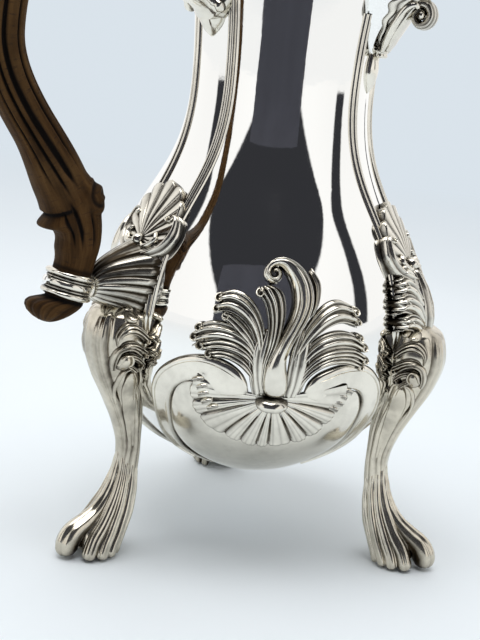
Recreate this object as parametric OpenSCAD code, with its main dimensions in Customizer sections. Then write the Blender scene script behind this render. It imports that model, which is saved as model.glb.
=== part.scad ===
// Footed coffee pot in polished silver with a carved fruitwood handle.
// A baluster body stands on three cast cabriole legs. Three reeded bands run from the
// rim into the legs, and the wide panels between them carry raised shell cartouches.
// Origin: on the pot's axis at the table. +Z up. The handle points along -X, and the
// beak spout and the third leg stand 120 degrees from it on either side.

/* [Body] */
// Radius of the belly at its widest
belly_r = 58.7; // [54:0.1:63]
// Height of the belly's widest point above the table
belly_z = 77; // [74:0.5:80]
// Gap between the table and the underside of the bowl
bowl_gap = 25.5; // [22:0.5:29]
// Radius of the neck at its narrowest
neck_r = 32.8; // [31:0.1:35]
// Height of the neck's narrowest point
neck_z = 172; // [168:1:176]
// Radius of the mouth, outside
rim_r = 37.2; // [36:0.1:39]
// Height of the mouth
rim_z = 222; // [219:0.5:226]
// Thickness of the raised silver
wall = 1.1; // [1:0.1:1.5]

/* [Rim] */
// Height of the wire moulding under the mouth
rim_wire_h = 4.6; // [3.5:0.1:5.5]
// How far the wire moulding stands out from the neck
rim_wire_out = 2.2; // [1.6:0.1:2.6]

/* [Bands] */
// Distance from a band's middle line to the middle of its reeded edge
band_half = 10.2; // [9:0.1:11]
// Width of one thread of the reeded edge
thread_w = 1.4; // [1.1:0.05:1.6]
// Height of the middle thread
thread_h = 1.5; // [1:0.1:2]
// Height at which the reeded edges end behind the legs
band_foot_z = 60; // [56:1:64]

/* [Legs] */
// Distance from the axis to the tip of a toe
toe_r = 80.5; // [77:0.5:84]
// Width of a toe
toe_w = 19; // [16:0.5:21]
// Distance from the axis to the middle of a shank
shank_r = 53.8; // [53:0.1:54.6]
// Front-to-back depth of a shank
shank_d = 8; // [7:0.1:9]
// Width of a shank
shank_w = 8.8; // [7.5:0.1:10]
// Distance from the axis to the front of a knee
knee_r = 73.5; // [71.5:0.1:75]
// Width of a knee
knee_w = 24.4; // [22:0.2:26]
// Height of the middle of a knee
knee_z = 80; // [78:0.5:82]
// Depth of the reeds along a leg, as a share of its section
reed_depth = 0.06; // [0.02:0.01:0.09]
// Height of the raised shell on a knee
knee_shell_h = 1.8; // [1.2:0.1:2.4]

/* [Leaves above the knees] */
// Height of the tip of a leaf
leaf_tip_z = 133; // [129:0.5:137]
// How far a leaf's tip stands out from the body
leaf_tip_out = 1.4; // [1:0.1:2]

/* [Cartouches] */
// Height of the middle of the central bead
bead_z = 68; // [66:0.5:70]
// Radius of the central bead
bead_r = 6.4; // [5.6:0.1:7]
// Half the width of the fan shell
fan_half_w = 25.5; // [23:0.5:27]
// Drop of the fan shell below the bead's middle
fan_drop = 16; // [14:0.5:17]
// Number of lobes in the fan shell
fan_lobes = 9; // [7:2:11]
// Height of the smooth scrolls above the body
scroll_h = 1.9; // [1.4:0.1:2.4]
// Height of the leaves above the body
leaf_h = 1.5; // [1.1:0.1:2]
// Height of the plume and its stem above the body
plume_h = 2.4; // [1.8:0.1:3]

/* [Handle] */
// Distance from the axis to the handle's middle line at its furthest
handle_reach = 113; // [111:0.5:116]
// Height of the handle's middle line at its top
handle_top_z = 231; // [228:0.5:234]
// Depth of the wood
handle_d = 14.6; // [13.4:0.2:15.4]
// Width of the wood
handle_w = 13; // [12:0.2:14.4]
// Height of the upper socket's axis where it meets the neck
upper_socket_z = 201.5; // [200:0.5:203]
// Rise of the upper socket's axis
upper_socket_tilt = 12; // [9:1:14]
// Length of the upper socket from the pot's axis to its mouth
upper_socket_end = 59; // [57:0.5:61]
// Radius of the round tenon in the upper socket
tenon_r = 5.8; // [5.2:0.1:6.2]
// Radius of the pins that hold the handle
pin_r = 1.3; // [1:0.1:1.6]
// Distance from the axis to the middle of the lower collar
collar_x = 83.5; // [83:0.1:84]
// Height of the middle of the lower collar
collar_z = 100.5; // [99.5:0.5:101.5]
// Lean of the lower collar's axis from the vertical
collar_lean = 14; // [11:1:17]
// Length of the lower collar
collar_len = 10.5; // [9:0.5:12]
// Thickness of the silver round the wood
collar_wall = 1.5; // [1.2:0.1:1.9]
// Gap all round between wood and silver
wood_gap = 0.2; // [0.15:0.05:0.3]

/* [Spout] */
// Height at which the spout's keel leaves the neck
spout_foot_z = 186; // [183:0.5:189]
// Distance from the axis to the tip of the spout
spout_tip_r = 72; // [68:0.5:76]
// Half the width of the spout where it meets the mouth
spout_half_w = 19; // [17:0.5:21]
// Thickness of the spout's wall
spout_wall = 1.4; // [1.2:0.1:1.8]
// Radius of one strainer hole
strainer_hole_r = 1.6; // [1.2:0.1:1.9]

/* [Lid] */
// Height of the lid above the mouth, up to the finial
lid_h = 30; // [27:0.5:33]
// Thickness of the lid
lid_wall = 1.1; // [0.9:0.1:1.4]
// Depth of the bezel that drops into the neck
bezel_h = 7; // [5:0.5:8]
// Height of the finial
finial_h = 27; // [24:0.5:30]
// Radius of the finial's bud
finial_r = 7.6; // [6.6:0.1:8.6]

/* [Hinge] */
// Distance from the pot's axis to the hinge pin
hinge_x = 43.6; // [43.2:0.1:44.4]
// Radius of the knuckles
knuckle_r = 3.2; // [2.9:0.1:3.4]
// Radius of the hinge pin
hinge_pin_r = 1.5; // [1.2:0.1:1.7]
// Length of the middle knuckle
knuckle_len = 6.4; // [5.4:0.2:7.4]
// Gap all round between the pin and its knuckles
hinge_clear = 0.05; // [0.03:0.01:0.08]
// Height of the thumbpiece above the hinge pin
thumb_h = 15; // [13:0.5:16]

/* [Hidden] */

silver = [0.80, 0.80, 0.78];
wood = [0.42, 0.23, 0.12];

handle_angle = 180;
spout_angle = 300;
rear_angle = 60;
front_panel = 240;
right_panel = 0;
back_panel = 120;

// Pieces that are soldered face to face keep this much apart
seam = 0.05;
// Cast pieces with a curved back keep this much off the shell
cast_gap = 0.25;
// Pieces that move past each other keep this much apart
run_gap = 0.3;
tiny = 0.01;

// Radii of the wood in the lower collar, of the collar's bore and of its outside
wood_lower_r = handle_w/2 - 0.2;
collar_bore_r = wood_lower_r + wood_gap;
collar_r = collar_bore_r + collar_wall;

// ---- Curves ----

function bez(p, t) = let (u = 1 - t)
    u*u*u*p[0] + 3*u*u*t*p[1] + 3*u*t*t*p[2] + t*t*t*p[3];
function bez_path(p, n, first = 0) = [for (i = [first:n]) bez(p, i/n)];
function unit(v) = v/norm(v);
// Outward normal of a path that runs upwards with the solid on its left
function path_normal(p, i) = let (
        a = p[max(i - 1, 0)], b = p[min(i + 1, len(p) - 1)], t = unit(b - a))
    [t[1], -t[0]];
function offset_path(p, d) = [for (i = [0:len(p) - 1]) p[i] + d*path_normal(p, i)];
function reversed(p) = [for (i = [len(p) - 1:-1:0]) p[i]];
// An S-shaped blend from 0 to 1
function ease(t) = let (c = min(max(t, 0), 1)) c*c*(3 - 2*c);
function bump(x, mid, half) = let (t = (x - mid)/half) abs(t) < 1 ? pow(cos(90*t), 2) : 0;

// ---- The body's outline, as [radius, height] ----

bowl_curve = [[0, bowl_gap], [0.42*belly_r, bowl_gap],
              [belly_r, belly_z - 0.49*(belly_z - bowl_gap)], [belly_r, belly_z]];
shoulder_span = neck_z - belly_z;
shoulder_curve = [[belly_r, belly_z], [belly_r, belly_z + 0.575*shoulder_span],
                  [neck_r, neck_z - 0.455*shoulder_span], [neck_r, neck_z]];
neck_span = rim_z - neck_z;
neck_curve = [[neck_r, neck_z], [neck_r, neck_z + 0.4*neck_span],
              [rim_r - 0.13*0.3*neck_span, rim_z - 0.3*neck_span], [rim_r, rim_z]];
body_outline = concat(bez_path(bowl_curve, 14), bez_path(shoulder_curve, 16, 1),
                      bez_path(neck_curve, 8, 1));
body_table = [for (p = body_outline) [p[1], p[0]]];

function body_r(z) = z < bowl_gap ? 0 : lookup(z, body_table);
// Front-to-back place of the body's surface at height z and side distance y
function body_x(z, y, out = 0) = let (r = body_r(z) + out)
    r > abs(y) ? sqrt(r*r - y*y) : 0;

// Castings sit close to the body in the middle of a band and bridge its reeded edges
edge_start = band_half - 1.5*thread_w;
function seat_x(z, y) = body_x(z, y, cast_gap
    + (thread_h + seam)*ease((abs(y) - edge_start + 3)/2));

// The part of the outline between two heights, moved out by d
function outline_between(d, low, high) =
    let (p = offset_path(body_outline, d))
    concat([[body_r(low) + d, low]],
           [for (q = p) if (q[1] > low + 0.2 && q[1] < high - 0.2) q],
           [[body_r(high) + d, high]]);

// ---- Shapes that repeat ----

module silver_piece() color(silver) children();
module at(angle) rotate(angle) children();

// A skin through rings of points, closed at both ends. The rings of a folded strip
// hold a front edge and then an equal back edge, and are closed pair by pair.
function flat_cap(n) = [[for (i = [0:n - 1]) i]];
function folded_cap(n) = [for (i = [0:n/2 - 2]) each
    [[i, i + 1, n - 2 - i], [i, n - 2 - i, n - 1 - i]]];
function shifted(faces, by) = [for (f = faces) [for (i = [len(f) - 1:-1:0]) f[i] + by]];
module skin(rings, folded = false) {
    n = len(rings[0]);
    m = len(rings);
    cap = folded ? folded_cap(n) : flat_cap(n);
    polyhedron(
        points = [for (r = rings) each r],
        faces = concat(
            cap,
            shifted(cap, (m - 1)*n),
            [for (k = [0:m - 2]) for (i = [0:n - 1]) let (j = (i + 1) % n)
                each [[k*n + i, (k + 1)*n + i, (k + 1)*n + j],
                      [k*n + i, (k + 1)*n + j, k*n + j]]]));
}

// A skin of silver that lies on the body between two heights
module body_layer(height, low, high, half_angle) {
    rotate(-half_angle)
        rotate_extrude(angle = 2*half_angle, $fn = 96)
            polygon(concat(outline_between(height, low, high),
                           reversed(outline_between(seam, low, high))));
}

// ---- Body ----

module body_shell() silver_piece() difference() {
    rotate_extrude($fn = 96)
        polygon(concat(body_outline,
            [[rim_r - wall, rim_z]],
            [for (p = reversed(offset_path(body_outline, -wall)))
                if (p[1] < rim_z - 0.5 && p[0] > 0.5) p],
            [[0, bowl_gap + wall]]));
    at(spout_angle) strainer_holes();
}

// Three rows of strainer holes behind the spout
strainer_pitch = 2.6*strainer_hole_r;
module strainer_holes() {
    for (row = [0:2]) for (k = [-(1 + row):(1 + row)])
        translate([0, k*strainer_pitch, spout_foot_z + 9 + row*strainer_pitch])
            rotate([0, 90, 0])
                cylinder(r = strainer_hole_r, h = rim_r + 6, $fn = 24);
}

spout_side_angle = asin(spout_half_w/rim_r);
module rim_wire() silver_piece()
    rotate(spout_angle + spout_side_angle + 1)
        rotate_extrude(angle = 360 - 2*spout_side_angle - 2, $fn = 96)
            polygon(concat(
                [[body_r(rim_z - rim_wire_h) + seam, rim_z - rim_wire_h]],
                [for (t = [-80:20:80])
                    [body_r(rim_z - rim_wire_h/2) + 0.4 + (rim_wire_out - 0.4)*cos(t),
                     rim_z - rim_wire_h/2 + rim_wire_h/2*sin(t)*0.98]],
                [[rim_r + seam, rim_z]]));

// ---- Reeded edges of a band: a tall thread between two low ones ----

module band_edge(side, under_beak) {
    for (k = [-1:1]) intersection() {
        body_layer(k == 0 ? thread_h : 0.6*thread_h, band_foot_z,
                   under_beak ? beak_foot(band_half + (side*k - 0.5)*thread_w) - run_gap
                              : rim_z - rim_wire_h - seam, 40);
        translate([0, side*band_half + (k - 0.5)*thread_w, 0])
            cube([belly_r + 10, thread_w, rim_z]);
    }
}
module band_edges(under_beak = false) silver_piece()
    for (side = [-1, 1]) band_edge(side, under_beak);

// ---- Legs: rings of [height, back, front, half width] from the toe to the knee ----

shank_back = shank_r - shank_d/2;
shank_front = shank_r + shank_d/2;
leg_rings = [
    [0, toe_r - 22, toe_r - 5, 0.40*toe_w],
    [0.025, toe_r - 24.5, toe_r - 1.8, 0.46*toe_w],
    [0.075, toe_r - 26.5, toe_r, 0.5*toe_w],
    [0.125, toe_r - 27.8, toe_r - 0.6, 0.48*toe_w],
    [0.17, toe_r - 28.4, toe_r - 4.2, 0.41*toe_w],
    [0.21, shank_back + 1.8, shank_front + 13.2, 0.40*shank_w + 3.2],
    [0.26, shank_back + 1, shank_front + 7.4, 0.42*shank_w + 2.1],
    [0.325, shank_back + 0.3, shank_front + 2.9, 0.45*shank_w + 1.1],
    [0.40, shank_back, shank_front + 0.5, 0.5*shank_w + 0.2],
    [0.475, shank_back, shank_front, 0.5*shank_w],
    [0.55, shank_back + 0.5, shank_front + 1.1, 0.5*shank_w + 0.6],
    [0.625, shank_back + 1.2, shank_front + 3.5, 0.5*shank_w + 1.5],
    [0.70, shank_back + 2.5, knee_r - 8.6, 0.30*knee_w],
    [0.775, shank_back + 3, knee_r - 4.6, 0.37*knee_w],
    [0.85, shank_back + 3, knee_r - 1.9, 0.43*knee_w],
    [0.925, shank_back + 3, knee_r - 0.4, 0.475*knee_w],
    [1, shank_back + 3, knee_r, 0.5*knee_w],
    [1.075, shank_back + 3, knee_r - 0.9, 0.5*knee_w],
    [1.15, shank_back + 2, knee_r - 3.4, 0.47*knee_w]
];
leg_points = 28;
reeds = 7;
knee_top_z = 1.15*knee_z;

// Share of the section that a reed adds at angle t round the leg
function reed(t) = reed_depth*cos(reeds*t)*ease((95 - abs(t))/30);
function leg_point(s, t, out = 0) = let (
        z = s[0]*knee_z, mid = (s[1] + s[2])/2, half = (s[2] - s[1])/2,
        grow = 1 + reed(t) + out/half,
        y = (s[3]*(1 + reed(t)) + out)*sin(t))
    [max(mid + half*grow*cos(t), seat_x(z, y)), y, z];
function leg_ring(s) = [for (i = [0:leg_points - 1])
    leg_point(s, 360*i/leg_points - 180)];
module leg() silver_piece() skin([for (s = leg_rings) leg_ring(s)]);

// A ribbed shell that lies on the front of a knee
shell_rings = [for (s = leg_rings) if (s[0] > 0.74 && s[0] < 1.1) s];
shell_spread = 6;
function shell_height(s, k) = let (
        v = (s[0] - 0.74)/(1.1 - 0.74), u = abs(k)/shell_spread)
    knee_shell_h*(0.35 + 0.65*sin(180*min(v + 0.1, 1)))*(0.72 + 0.28*cos(180*k))
    *(u > 0.99 ? 0.25 : 1);
function shell_ring(s) = concat(
    [for (k = [-shell_spread:shell_spread]) leg_point(s, 360*k/leg_points, shell_height(s, k) + seam)],
    [for (k = [shell_spread:-1:-shell_spread]) leg_point(s, 360*k/leg_points, seam)]);
module knee_shell() silver_piece() skin([for (s = shell_rings) shell_ring(s)], folded = true);

// ---- Leaves that climb the bands above the knees ----

// Height of the veins, and thickness of a leaf at its edge
vein_h = 0.5;
leaf_edge = 0.3;
// Rings of [share of the climb, how far out from the body, half width]
leaf_span = leaf_tip_z - knee_top_z - seam;
leaf_rings = [
    [0, knee_r - 3.4 - body_r(knee_top_z), 0.47*knee_w],
    [0.10, 11.2, 0.44*knee_w],
    [0.22, 9.4, 0.41*knee_w],
    [0.36, 7.6, 0.37*knee_w],
    [0.52, 6.4, 0.31*knee_w],
    [0.70, 5.6, 0.23*knee_w],
    [0.86, 3.8, 0.14*knee_w],
    [1, leaf_tip_out, 0.04*knee_w]
];
// The bracket's nose meets the lower collar
nose_x = collar_x - 1.03*collar_r - run_gap;
function climb(z) = (z - knee_top_z - seam)/leaf_span;
function nose_out(share) = nose_x - body_r(knee_top_z + share*leaf_span)
    - cast_gap - leaf_edge - vein_h;
nose_low = climb(collar_z - 2.4);
nose_high = climb(collar_z + 0.6);
bracket_rings = [
    [0, knee_r - 4.5 - body_r(knee_top_z), 0.45*knee_w],
    [nose_low/2, 13.4, 0.38*knee_w],
    [nose_low, nose_out(nose_low), 0.26*knee_w],
    [nose_high, nose_out(nose_high), 0.26*knee_w],
    [nose_high + 0.10, 14.4, 0.32*knee_w],
    [0.42, 10.2, 0.41*knee_w],
    [0.54, 9.4, 0.47*knee_w],
    [0.68, 9.0, 0.47*knee_w],
    [0.80, 6.8, 0.38*knee_w],
    [0.91, 3.8, 0.22*knee_w],
    [1, leaf_tip_out, 0.06*knee_w]
];
leaf_points = 12;
// A mid rib with two side veins
function leaf_front(share, u) = share*cos(90*u) + vein_h*cos(540*u)*cos(90*u);
function climbing_ring(s) = let (z = knee_top_z + seam + s[0]*leaf_span) concat(
    [for (i = [0:leaf_points]) let (u = 2*i/leaf_points - 1, y = s[2]*sin(90*u))
        [seat_x(z, y) + leaf_edge + leaf_front(s[1], u), y, z]],
    [for (i = [leaf_points:-1:0]) let (u = 2*i/leaf_points - 1, y = s[2]*sin(90*u))
        [seat_x(z, y), y, z]]);
module climbing_leaf(rings) silver_piece()
    skin([for (s = rings) climbing_ring(s)], folded = true);

// ---- Cartouches, drawn in a panel's own plane as [sideways, height] ----

// A tapered stroke along a curve: w is the width at its start, middle and end
function stroke(p, w, n) =
    let (c = [for (i = [0:n]) bez(p, i/n)],
         half = [for (i = [0:n]) let (t = i/n)
             ((1 - t)*(1 - t)*w[0] + 2*(1 - t)*t*(2*w[1] - (w[0] + w[2])/2) + t*t*w[2])/2])
    concat([for (i = [0:n]) c[i] + half[i]*path_normal(c, i)],
           [for (i = [n:-1:0]) c[i] - half[i]*path_normal(c, i)]);

module on_panel(height, low, high) intersection() {
    body_layer(height, low, high, 58);
    rotate([90, 0, 90]) linear_extrude(belly_r + 10) children();
}

// Two C-scrolls that meet under the fan, as one outline with a disc at each tip
scroll_low = bowl_gap + 0.24*(belly_z - bowl_gap);
scroll_tip = [0.51*belly_r, bead_z + 10];
scroll_curve = [[0, scroll_low + 3.4], [0.5*belly_r, scroll_low + 3.4],
                [0.82*belly_r, bead_z - 7], scroll_tip];
scroll_steps = 12;
scroll_line = bez_path(scroll_curve, scroll_steps);
function scroll_half(i) = 2.2 + 2.2*sin(180*min(i/scroll_steps + 0.1, 1)) - 0.8*i/scroll_steps;
function scroll_edge(side, m) = [for (i = [0:scroll_steps]) let (
        q = i == 0 ? scroll_line[0] - [0, side*scroll_half(0)]
            : scroll_line[i] + side*scroll_half(i)*path_normal(scroll_line, i))
    [m*q[0], q[1]]];
module scrolls() {
    polygon(concat(reversed(scroll_edge(1, 1)), [for (i = [1:scroll_steps]) scroll_edge(1, -1)[i]],
                   reversed(scroll_edge(-1, -1)), [for (i = [1:scroll_steps]) scroll_edge(-1, 1)[i]]));
    for (m = [-1, 1]) translate([m*(scroll_tip[0] - 1.8), scroll_tip[1] - 0.6]) circle(r = 3.4, $fn = 20);
}
module fan() for (k = [0:fan_lobes - 1]) {
    a = 150*(k/(fan_lobes - 1) - 0.5);
    root = [0.28*fan_half_w*sin(a), bead_z - 0.44*fan_drop*cos(a)];
    tip = [(fan_half_w - 2.2)*sin(a), bead_z + 1 - (fan_drop - 1.2)*cos(a)];
    polygon(stroke([root, root + (tip - root)/3, root + (tip - root)*2/3, tip],
                   [2.8, 3.3, 3.8], 3));
    translate(tip) circle(r = 2.05, $fn = 14);
}
// Leaves on each side of the stem: [first pull, second pull, tip, width]
leaf_strokes = [
    [[6, -1], [16, 0], [24.5, 8], 5],
    [[7, 4], [16, 8], [25, 15], 6],
    [[6, 9], [13, 15], [21, 22], 5.6],
    [[1, 10], [5, 18], [9, 26], 5]
];
leaf_root = [6.5, bead_z + 12];
module leaves() for (m = [0, 1]) mirror([m, 0]) for (s = leaf_strokes)
    polygon(stroke([leaf_root, leaf_root + s[0], leaf_root + s[1], leaf_root + s[2]],
                   [2.6, s[3], 3.2], 7));
// A plume that rises from the bead and curls over at its top
plume_root = bead_z + bead_r + 1.2;
module plume() {
    polygon(stroke([[0, plume_root], [1, bead_z + 22], [-8, bead_z + 34],
                    [-2, bead_z + 44]], [6.4, 6.4, 4.4], 9));
    polygon(stroke([[-3, bead_z + 42.6], [3, bead_z + 51], [13, bead_z + 50],
                    [10, bead_z + 39]], [4.2, 5.2, 4.6], 9));
}
module cartouche() silver_piece() {
    on_panel(scroll_h, scroll_low - 6, bead_z + 20) scrolls();
    on_panel(leaf_h, bead_z - fan_drop - 6, bead_z + 6) fan();
    on_panel(leaf_h, bead_z + 6, bead_z + 44) leaves();
    on_panel(plume_h, bead_z + 4, bead_z + 54) plume();
    intersection() {
        body_layer(5, bead_z - bead_r - 1, bead_z + bead_r + 1, 20);
        translate([body_r(bead_z) - 1.8, 0, bead_z]) sphere(r = bead_r, $fn = 32);
    }
}

// ---- Spout: a beak that grows out of the neck ----

spout_levels = [0, 0.12, 0.24, 0.36, 0.48, 0.6, 0.72, 0.84, 0.94, 1];
spout_top_z = rim_z - run_gap;
spout_points = 12;
// Keel of the beak: an S that starts on the neck and ends at the tip
function keel_out(t) = 1.6 + (spout_tip_r - rim_r - 1.6)*pow(t, 1.55);
function beak_half_w(t) = 3 + (spout_half_w - 3)*pow(t, 0.75);
// Height at which the beak's edge passes side distance y
function beak_foot(y) = spout_foot_z
    + pow((y - 3)/(spout_half_w - 3), 4/3)*(spout_top_z - spout_foot_z);
function lip_rise(t, x, z) = 0.14*t*max(x - body_r(z) - 4, 0);
function beak_side(t, z, w, reach, lift) = [for (i = [0:spout_points])
    let (u = 2*i/spout_points - 1, y = w*sin(90*u), back = body_x(z, y, seam),
         nose = body_r(z) + reach,
         x = back + (nose - body_r(z))*pow(cos(90*u), 1.25))
    [x, y, z + lip_rise(t, x, z)]];
function beak_inner(t, z, w, reach) = [for (i = [0:spout_points])
    let (u = 2*i/spout_points - 1, y = w*sin(90*u), back = body_x(z, y, seam),
         x = back + max(reach, 0)*pow(cos(90*u), 1.25))
    [x, y, z + lip_rise(t, x, z)]];
function beak_ring(t) = let (
        z = spout_foot_z + t*(spout_top_z - spout_foot_z), w = beak_half_w(t))
    concat(beak_side(t, z, w, keel_out(t)),
           reversed(beak_inner(t, z, w - spout_wall, keel_out(t) - spout_wall*1.6)));
module spout() silver_piece() skin([for (t = spout_levels) beak_ring(t)], folded = true);

// A leaf that folds round the keel
keel_leaf_levels = [0.06, 0.18, 0.32, 0.46, 0.6, 0.74, 0.86];
function keel_leaf_ring(t) = let (
        z = spout_foot_z + t*(spout_top_z - spout_foot_z), reach = keel_out(t),
        spread = 0.62*sin(180*min(0.1 + 0.95*t, 1)),
        n = 8)
    concat(
        [for (i = [0:n]) let (v = 2*i/n - 1, u = spread*v, w = beak_half_w(t) + 0.35,
                h = 1.8*(0.5 + 0.5*cos(90*v))*(1 + 0.2*cos(720*v)), y = (w + h*0.5)*sin(90*u),
                x = body_x(z, w*sin(90*u), seam) + (reach + seam + h)*pow(cos(90*u), 1.25))
            [x, y, z + lip_rise(t, x, z)]],
        [for (i = [n:-1:0]) let (v = 2*i/n - 1, u = spread*v, w = beak_half_w(t) + 0.3,
                y = w*sin(90*u),
                x = body_x(z, y, seam) + (reach + 0.4)*pow(cos(90*u), 1.25) + seam)
            [x, y, z + lip_rise(t, x, z)]]);
module spout_leaf() silver_piece() skin([for (t = keel_leaf_levels) keel_leaf_ring(t)], folded = true);

// A pendant husk under a joint on the neck: top height, length, width and thickness
module husk(top_z, length, width, thick) {
    n = 8;
    levels = [0.02, 0.15, 0.32, 0.5, 0.68, 0.85, 1];
    skin([for (t = levels) let (z = top_z - (1 - t)*length,
            w = width/2*(0.14 + 0.86*pow(sin(90*t), 1.2)),
            h = thick*(0.2 + 0.8*sin(90*min(1.25*t, 1))))
        concat([for (i = [0:n]) let (u = 2*i/n - 1, y = w*sin(90*u))
                   [body_x(z, y, seam) + 0.2 + h*cos(90*u)*(1 + 0.12*cos(540*u)), y, z]],
               [for (i = [n:-1:0]) let (u = 2*i/n - 1, y = w*sin(90*u))
                   [body_x(z, y, seam), y, z]])], folded = true);
}
module spout_drop() silver_piece() husk(spout_foot_z - seam, 13, 9, 3.4);

// ---- Upper socket ----

socket_wall = 1.7;
socket_bore_r = tenon_r + wood_gap;
socket_r = socket_bore_r + socket_wall;
socket_start = body_r(upper_socket_z) - 4;
tenon_len = 13;
socket_floor = upper_socket_end - tenon_len - wood_gap;
pin_spot = upper_socket_end - tenon_len/2;
socket_root = [0, 0, upper_socket_z - body_r(upper_socket_z)*tan(upper_socket_tilt)];

// Along the socket's axis, with x as the distance from the pot's axis
module along_socket() translate(socket_root) rotate([0, 90 - upper_socket_tilt, 0]) children();
function socket_reach(x) = x/cos(upper_socket_tilt);

module upper_socket() silver_piece() difference() {
    along_socket() rotate_extrude($fn = 48) polygon([
        [0, socket_reach(socket_start)],
        [socket_r + 3, socket_reach(socket_start)],
        [socket_r + 2.2, socket_reach(socket_start + 5)],
        [socket_r - 0.6, socket_reach(socket_start + 9)],
        [socket_r - 0.8, socket_reach(socket_start + 12)],
        [socket_r, socket_reach(upper_socket_end - 8)],
        [socket_r, socket_reach(upper_socket_end - 4.4)],
        [socket_r + 1, socket_reach(upper_socket_end - 3.8)],
        [socket_r + 1, socket_reach(upper_socket_end - 2.6)],
        [socket_r + 0.3, socket_reach(upper_socket_end - 2.2)],
        [socket_r + 0.3, socket_reach(upper_socket_end - 1.6)],
        [socket_r + 1, socket_reach(upper_socket_end - 1.2)],
        [socket_r + 0.8, socket_reach(upper_socket_end)],
        [socket_bore_r, socket_reach(upper_socket_end)],
        [socket_bore_r, socket_reach(socket_floor)],
        [0, socket_reach(socket_floor)]]);
    rotate_extrude($fn = 96)
        polygon(concat([[0, neck_z - 20]], outline_between(seam, neck_z - 20, rim_z), [[0, rim_z]]));
    for (side = [-1, 1]) intersection() {
        rotate_extrude($fn = 96)
            polygon(concat([[0, neck_z - 10]], outline_between(thread_h + 2*seam, neck_z - 10, rim_z - 1), [[0, rim_z - 1]]));
        translate([0, side*(edge_start - seam + 15) - 15, neck_z - 10]) cube([2*belly_r, 30, 60]);
    }
    along_socket() translate([0, 0, socket_reach(pin_spot)]) rotate([90, 0, 0])
        cylinder(r = pin_r + seam, h = 4*socket_r, center = true, $fn = 24);
}
module upper_socket_drop() silver_piece()
    husk(upper_socket_z - socket_r - 3.4, 11, 8.4, 3.2);
module upper_handle_pin() silver_piece() along_socket()
    translate([0, 0, socket_reach(pin_spot)]) rotate([90, 0, 0]) {
        cylinder(r = pin_r, h = 2*(socket_r - 0.1), center = true, $fn = 24);
        for (s = [-1, 1]) translate([0, 0, s*(socket_r + 0.45)])
            cylinder(r = pin_r + 0.9, h = 0.9, center = true, $fn = 24);
    }

// ---- Lower collar ----

module at_collar() translate([collar_x, 0, collar_z]) rotate([0, -collar_lean, 0]) children();
module lower_collar() silver_piece() difference() {
    at_collar() rotate_extrude($fn = 48) polygon([
        [collar_bore_r, -collar_len/2],
        [collar_r - 0.2, -collar_len/2],
        [collar_r + 0.5, -collar_len/2 + 0.8],
        [collar_r + 0.5, -collar_len/2 + 1.8],
        [collar_r - 0.4, -collar_len/2 + 2.4],
        [collar_r - 0.4, collar_len/2 - 3.4],
        [collar_r + 0.4, collar_len/2 - 3.1],
        [collar_r + 0.4, collar_len/2 - 2.5],
        [collar_r - 0.2, collar_len/2 - 2.2],
        [collar_r + 0.4, collar_len/2 - 1.9],
        [collar_r + 0.4, collar_len/2 - 0.5],
        [collar_r - 0.2, collar_len/2],
        [collar_bore_r, collar_len/2]]);
    at_collar() rotate([0, 90, 0]) cylinder(r = pin_r + seam, h = 2*collar_r, $fn = 24);
}
lower_pin_depth = 5;
module lower_handle_pin() silver_piece() at_collar() rotate([0, 90, 0]) {
    translate([0, 0, wood_lower_r - lower_pin_depth + wood_gap])
        cylinder(r = pin_r, h = collar_r - wood_lower_r + lower_pin_depth, $fn = 24);
    intersection() {
        translate([0, 0, collar_r - 0.4 + seam]) cylinder(r = pin_r + 0.35, h = 3, $fn = 24);
        translate([0, 0, collar_r - 1.6]) sphere(r = 3.2, $fn = 32);
    }
}

// ---- Wooden handle: a carved C between socket and collar ----

socket_dir = [cos(upper_socket_tilt), sin(upper_socket_tilt)];
wood_start = [upper_socket_end, socket_root[2] + upper_socket_end*tan(upper_socket_tilt)]
    + wood_gap*socket_dir;
collar_dir = [sin(collar_lean), -cos(collar_lean)];
collar_top = [collar_x, collar_z] - (collar_len/2)*collar_dir;
collar_foot = [collar_x, collar_z] + (collar_len/2)*collar_dir;
handle_outer = [handle_reach, 0.62*handle_top_z + 0.38*collar_z];
handle_crown = [0.79*handle_reach, handle_top_z];
handle_curves = [
    [wood_start, wood_start + 9*socket_dir, handle_crown - [14, 0], handle_crown],
    [handle_crown, handle_crown + [14, 0], handle_outer + [0, 20], handle_outer],
    [handle_outer, handle_outer - [0, 26], collar_top - 32*collar_dir, collar_top],
    [collar_top, collar_top + 3*collar_dir, collar_foot - 3*collar_dir, collar_foot],
    [collar_foot, collar_foot + 4*collar_dir, collar_foot + [5.6, -5], collar_foot + [8, -6.4]]
];
handle_line = concat(bez_path(handle_curves[0], 7), bez_path(handle_curves[1], 10, 1),
                     bez_path(handle_curves[2], 14, 1), bez_path(handle_curves[3], 2, 1),
                     bez_path(handle_curves[4], 4, 1));
handle_points = 20;
last_ring = len(handle_line) - 1;
crown_ring = 7;
outer_ring = crown_ring + 10;
collar_ring = outer_ring + 14;
knob_ring = collar_ring + 2;

// Half depth of the wood at a ring: full on the outside curve, round in the collar
function wood_depth(i) = i >= collar_ring && i <= knob_ring ? wood_lower_r
    : i > knob_ring ? wood_lower_r*(i == last_ring ? 0.55 : 1.04)
    : handle_d/2*(0.88 + 0.12*ease(i/5)) + 1.3*bump(i, outer_ring + 7, 5) - 0.2*ease((i - collar_ring + 3)/3);
function wood_width(i) = i >= collar_ring && i <= knob_ring ? wood_lower_r
    : i > knob_ring ? wood_lower_r*(i == last_ring ? 0.55 : 1.0)
    : handle_w/2*(0.9 + 0.1*ease(i/5)) + 0.9*bump(i, outer_ring + 7, 5);
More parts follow.
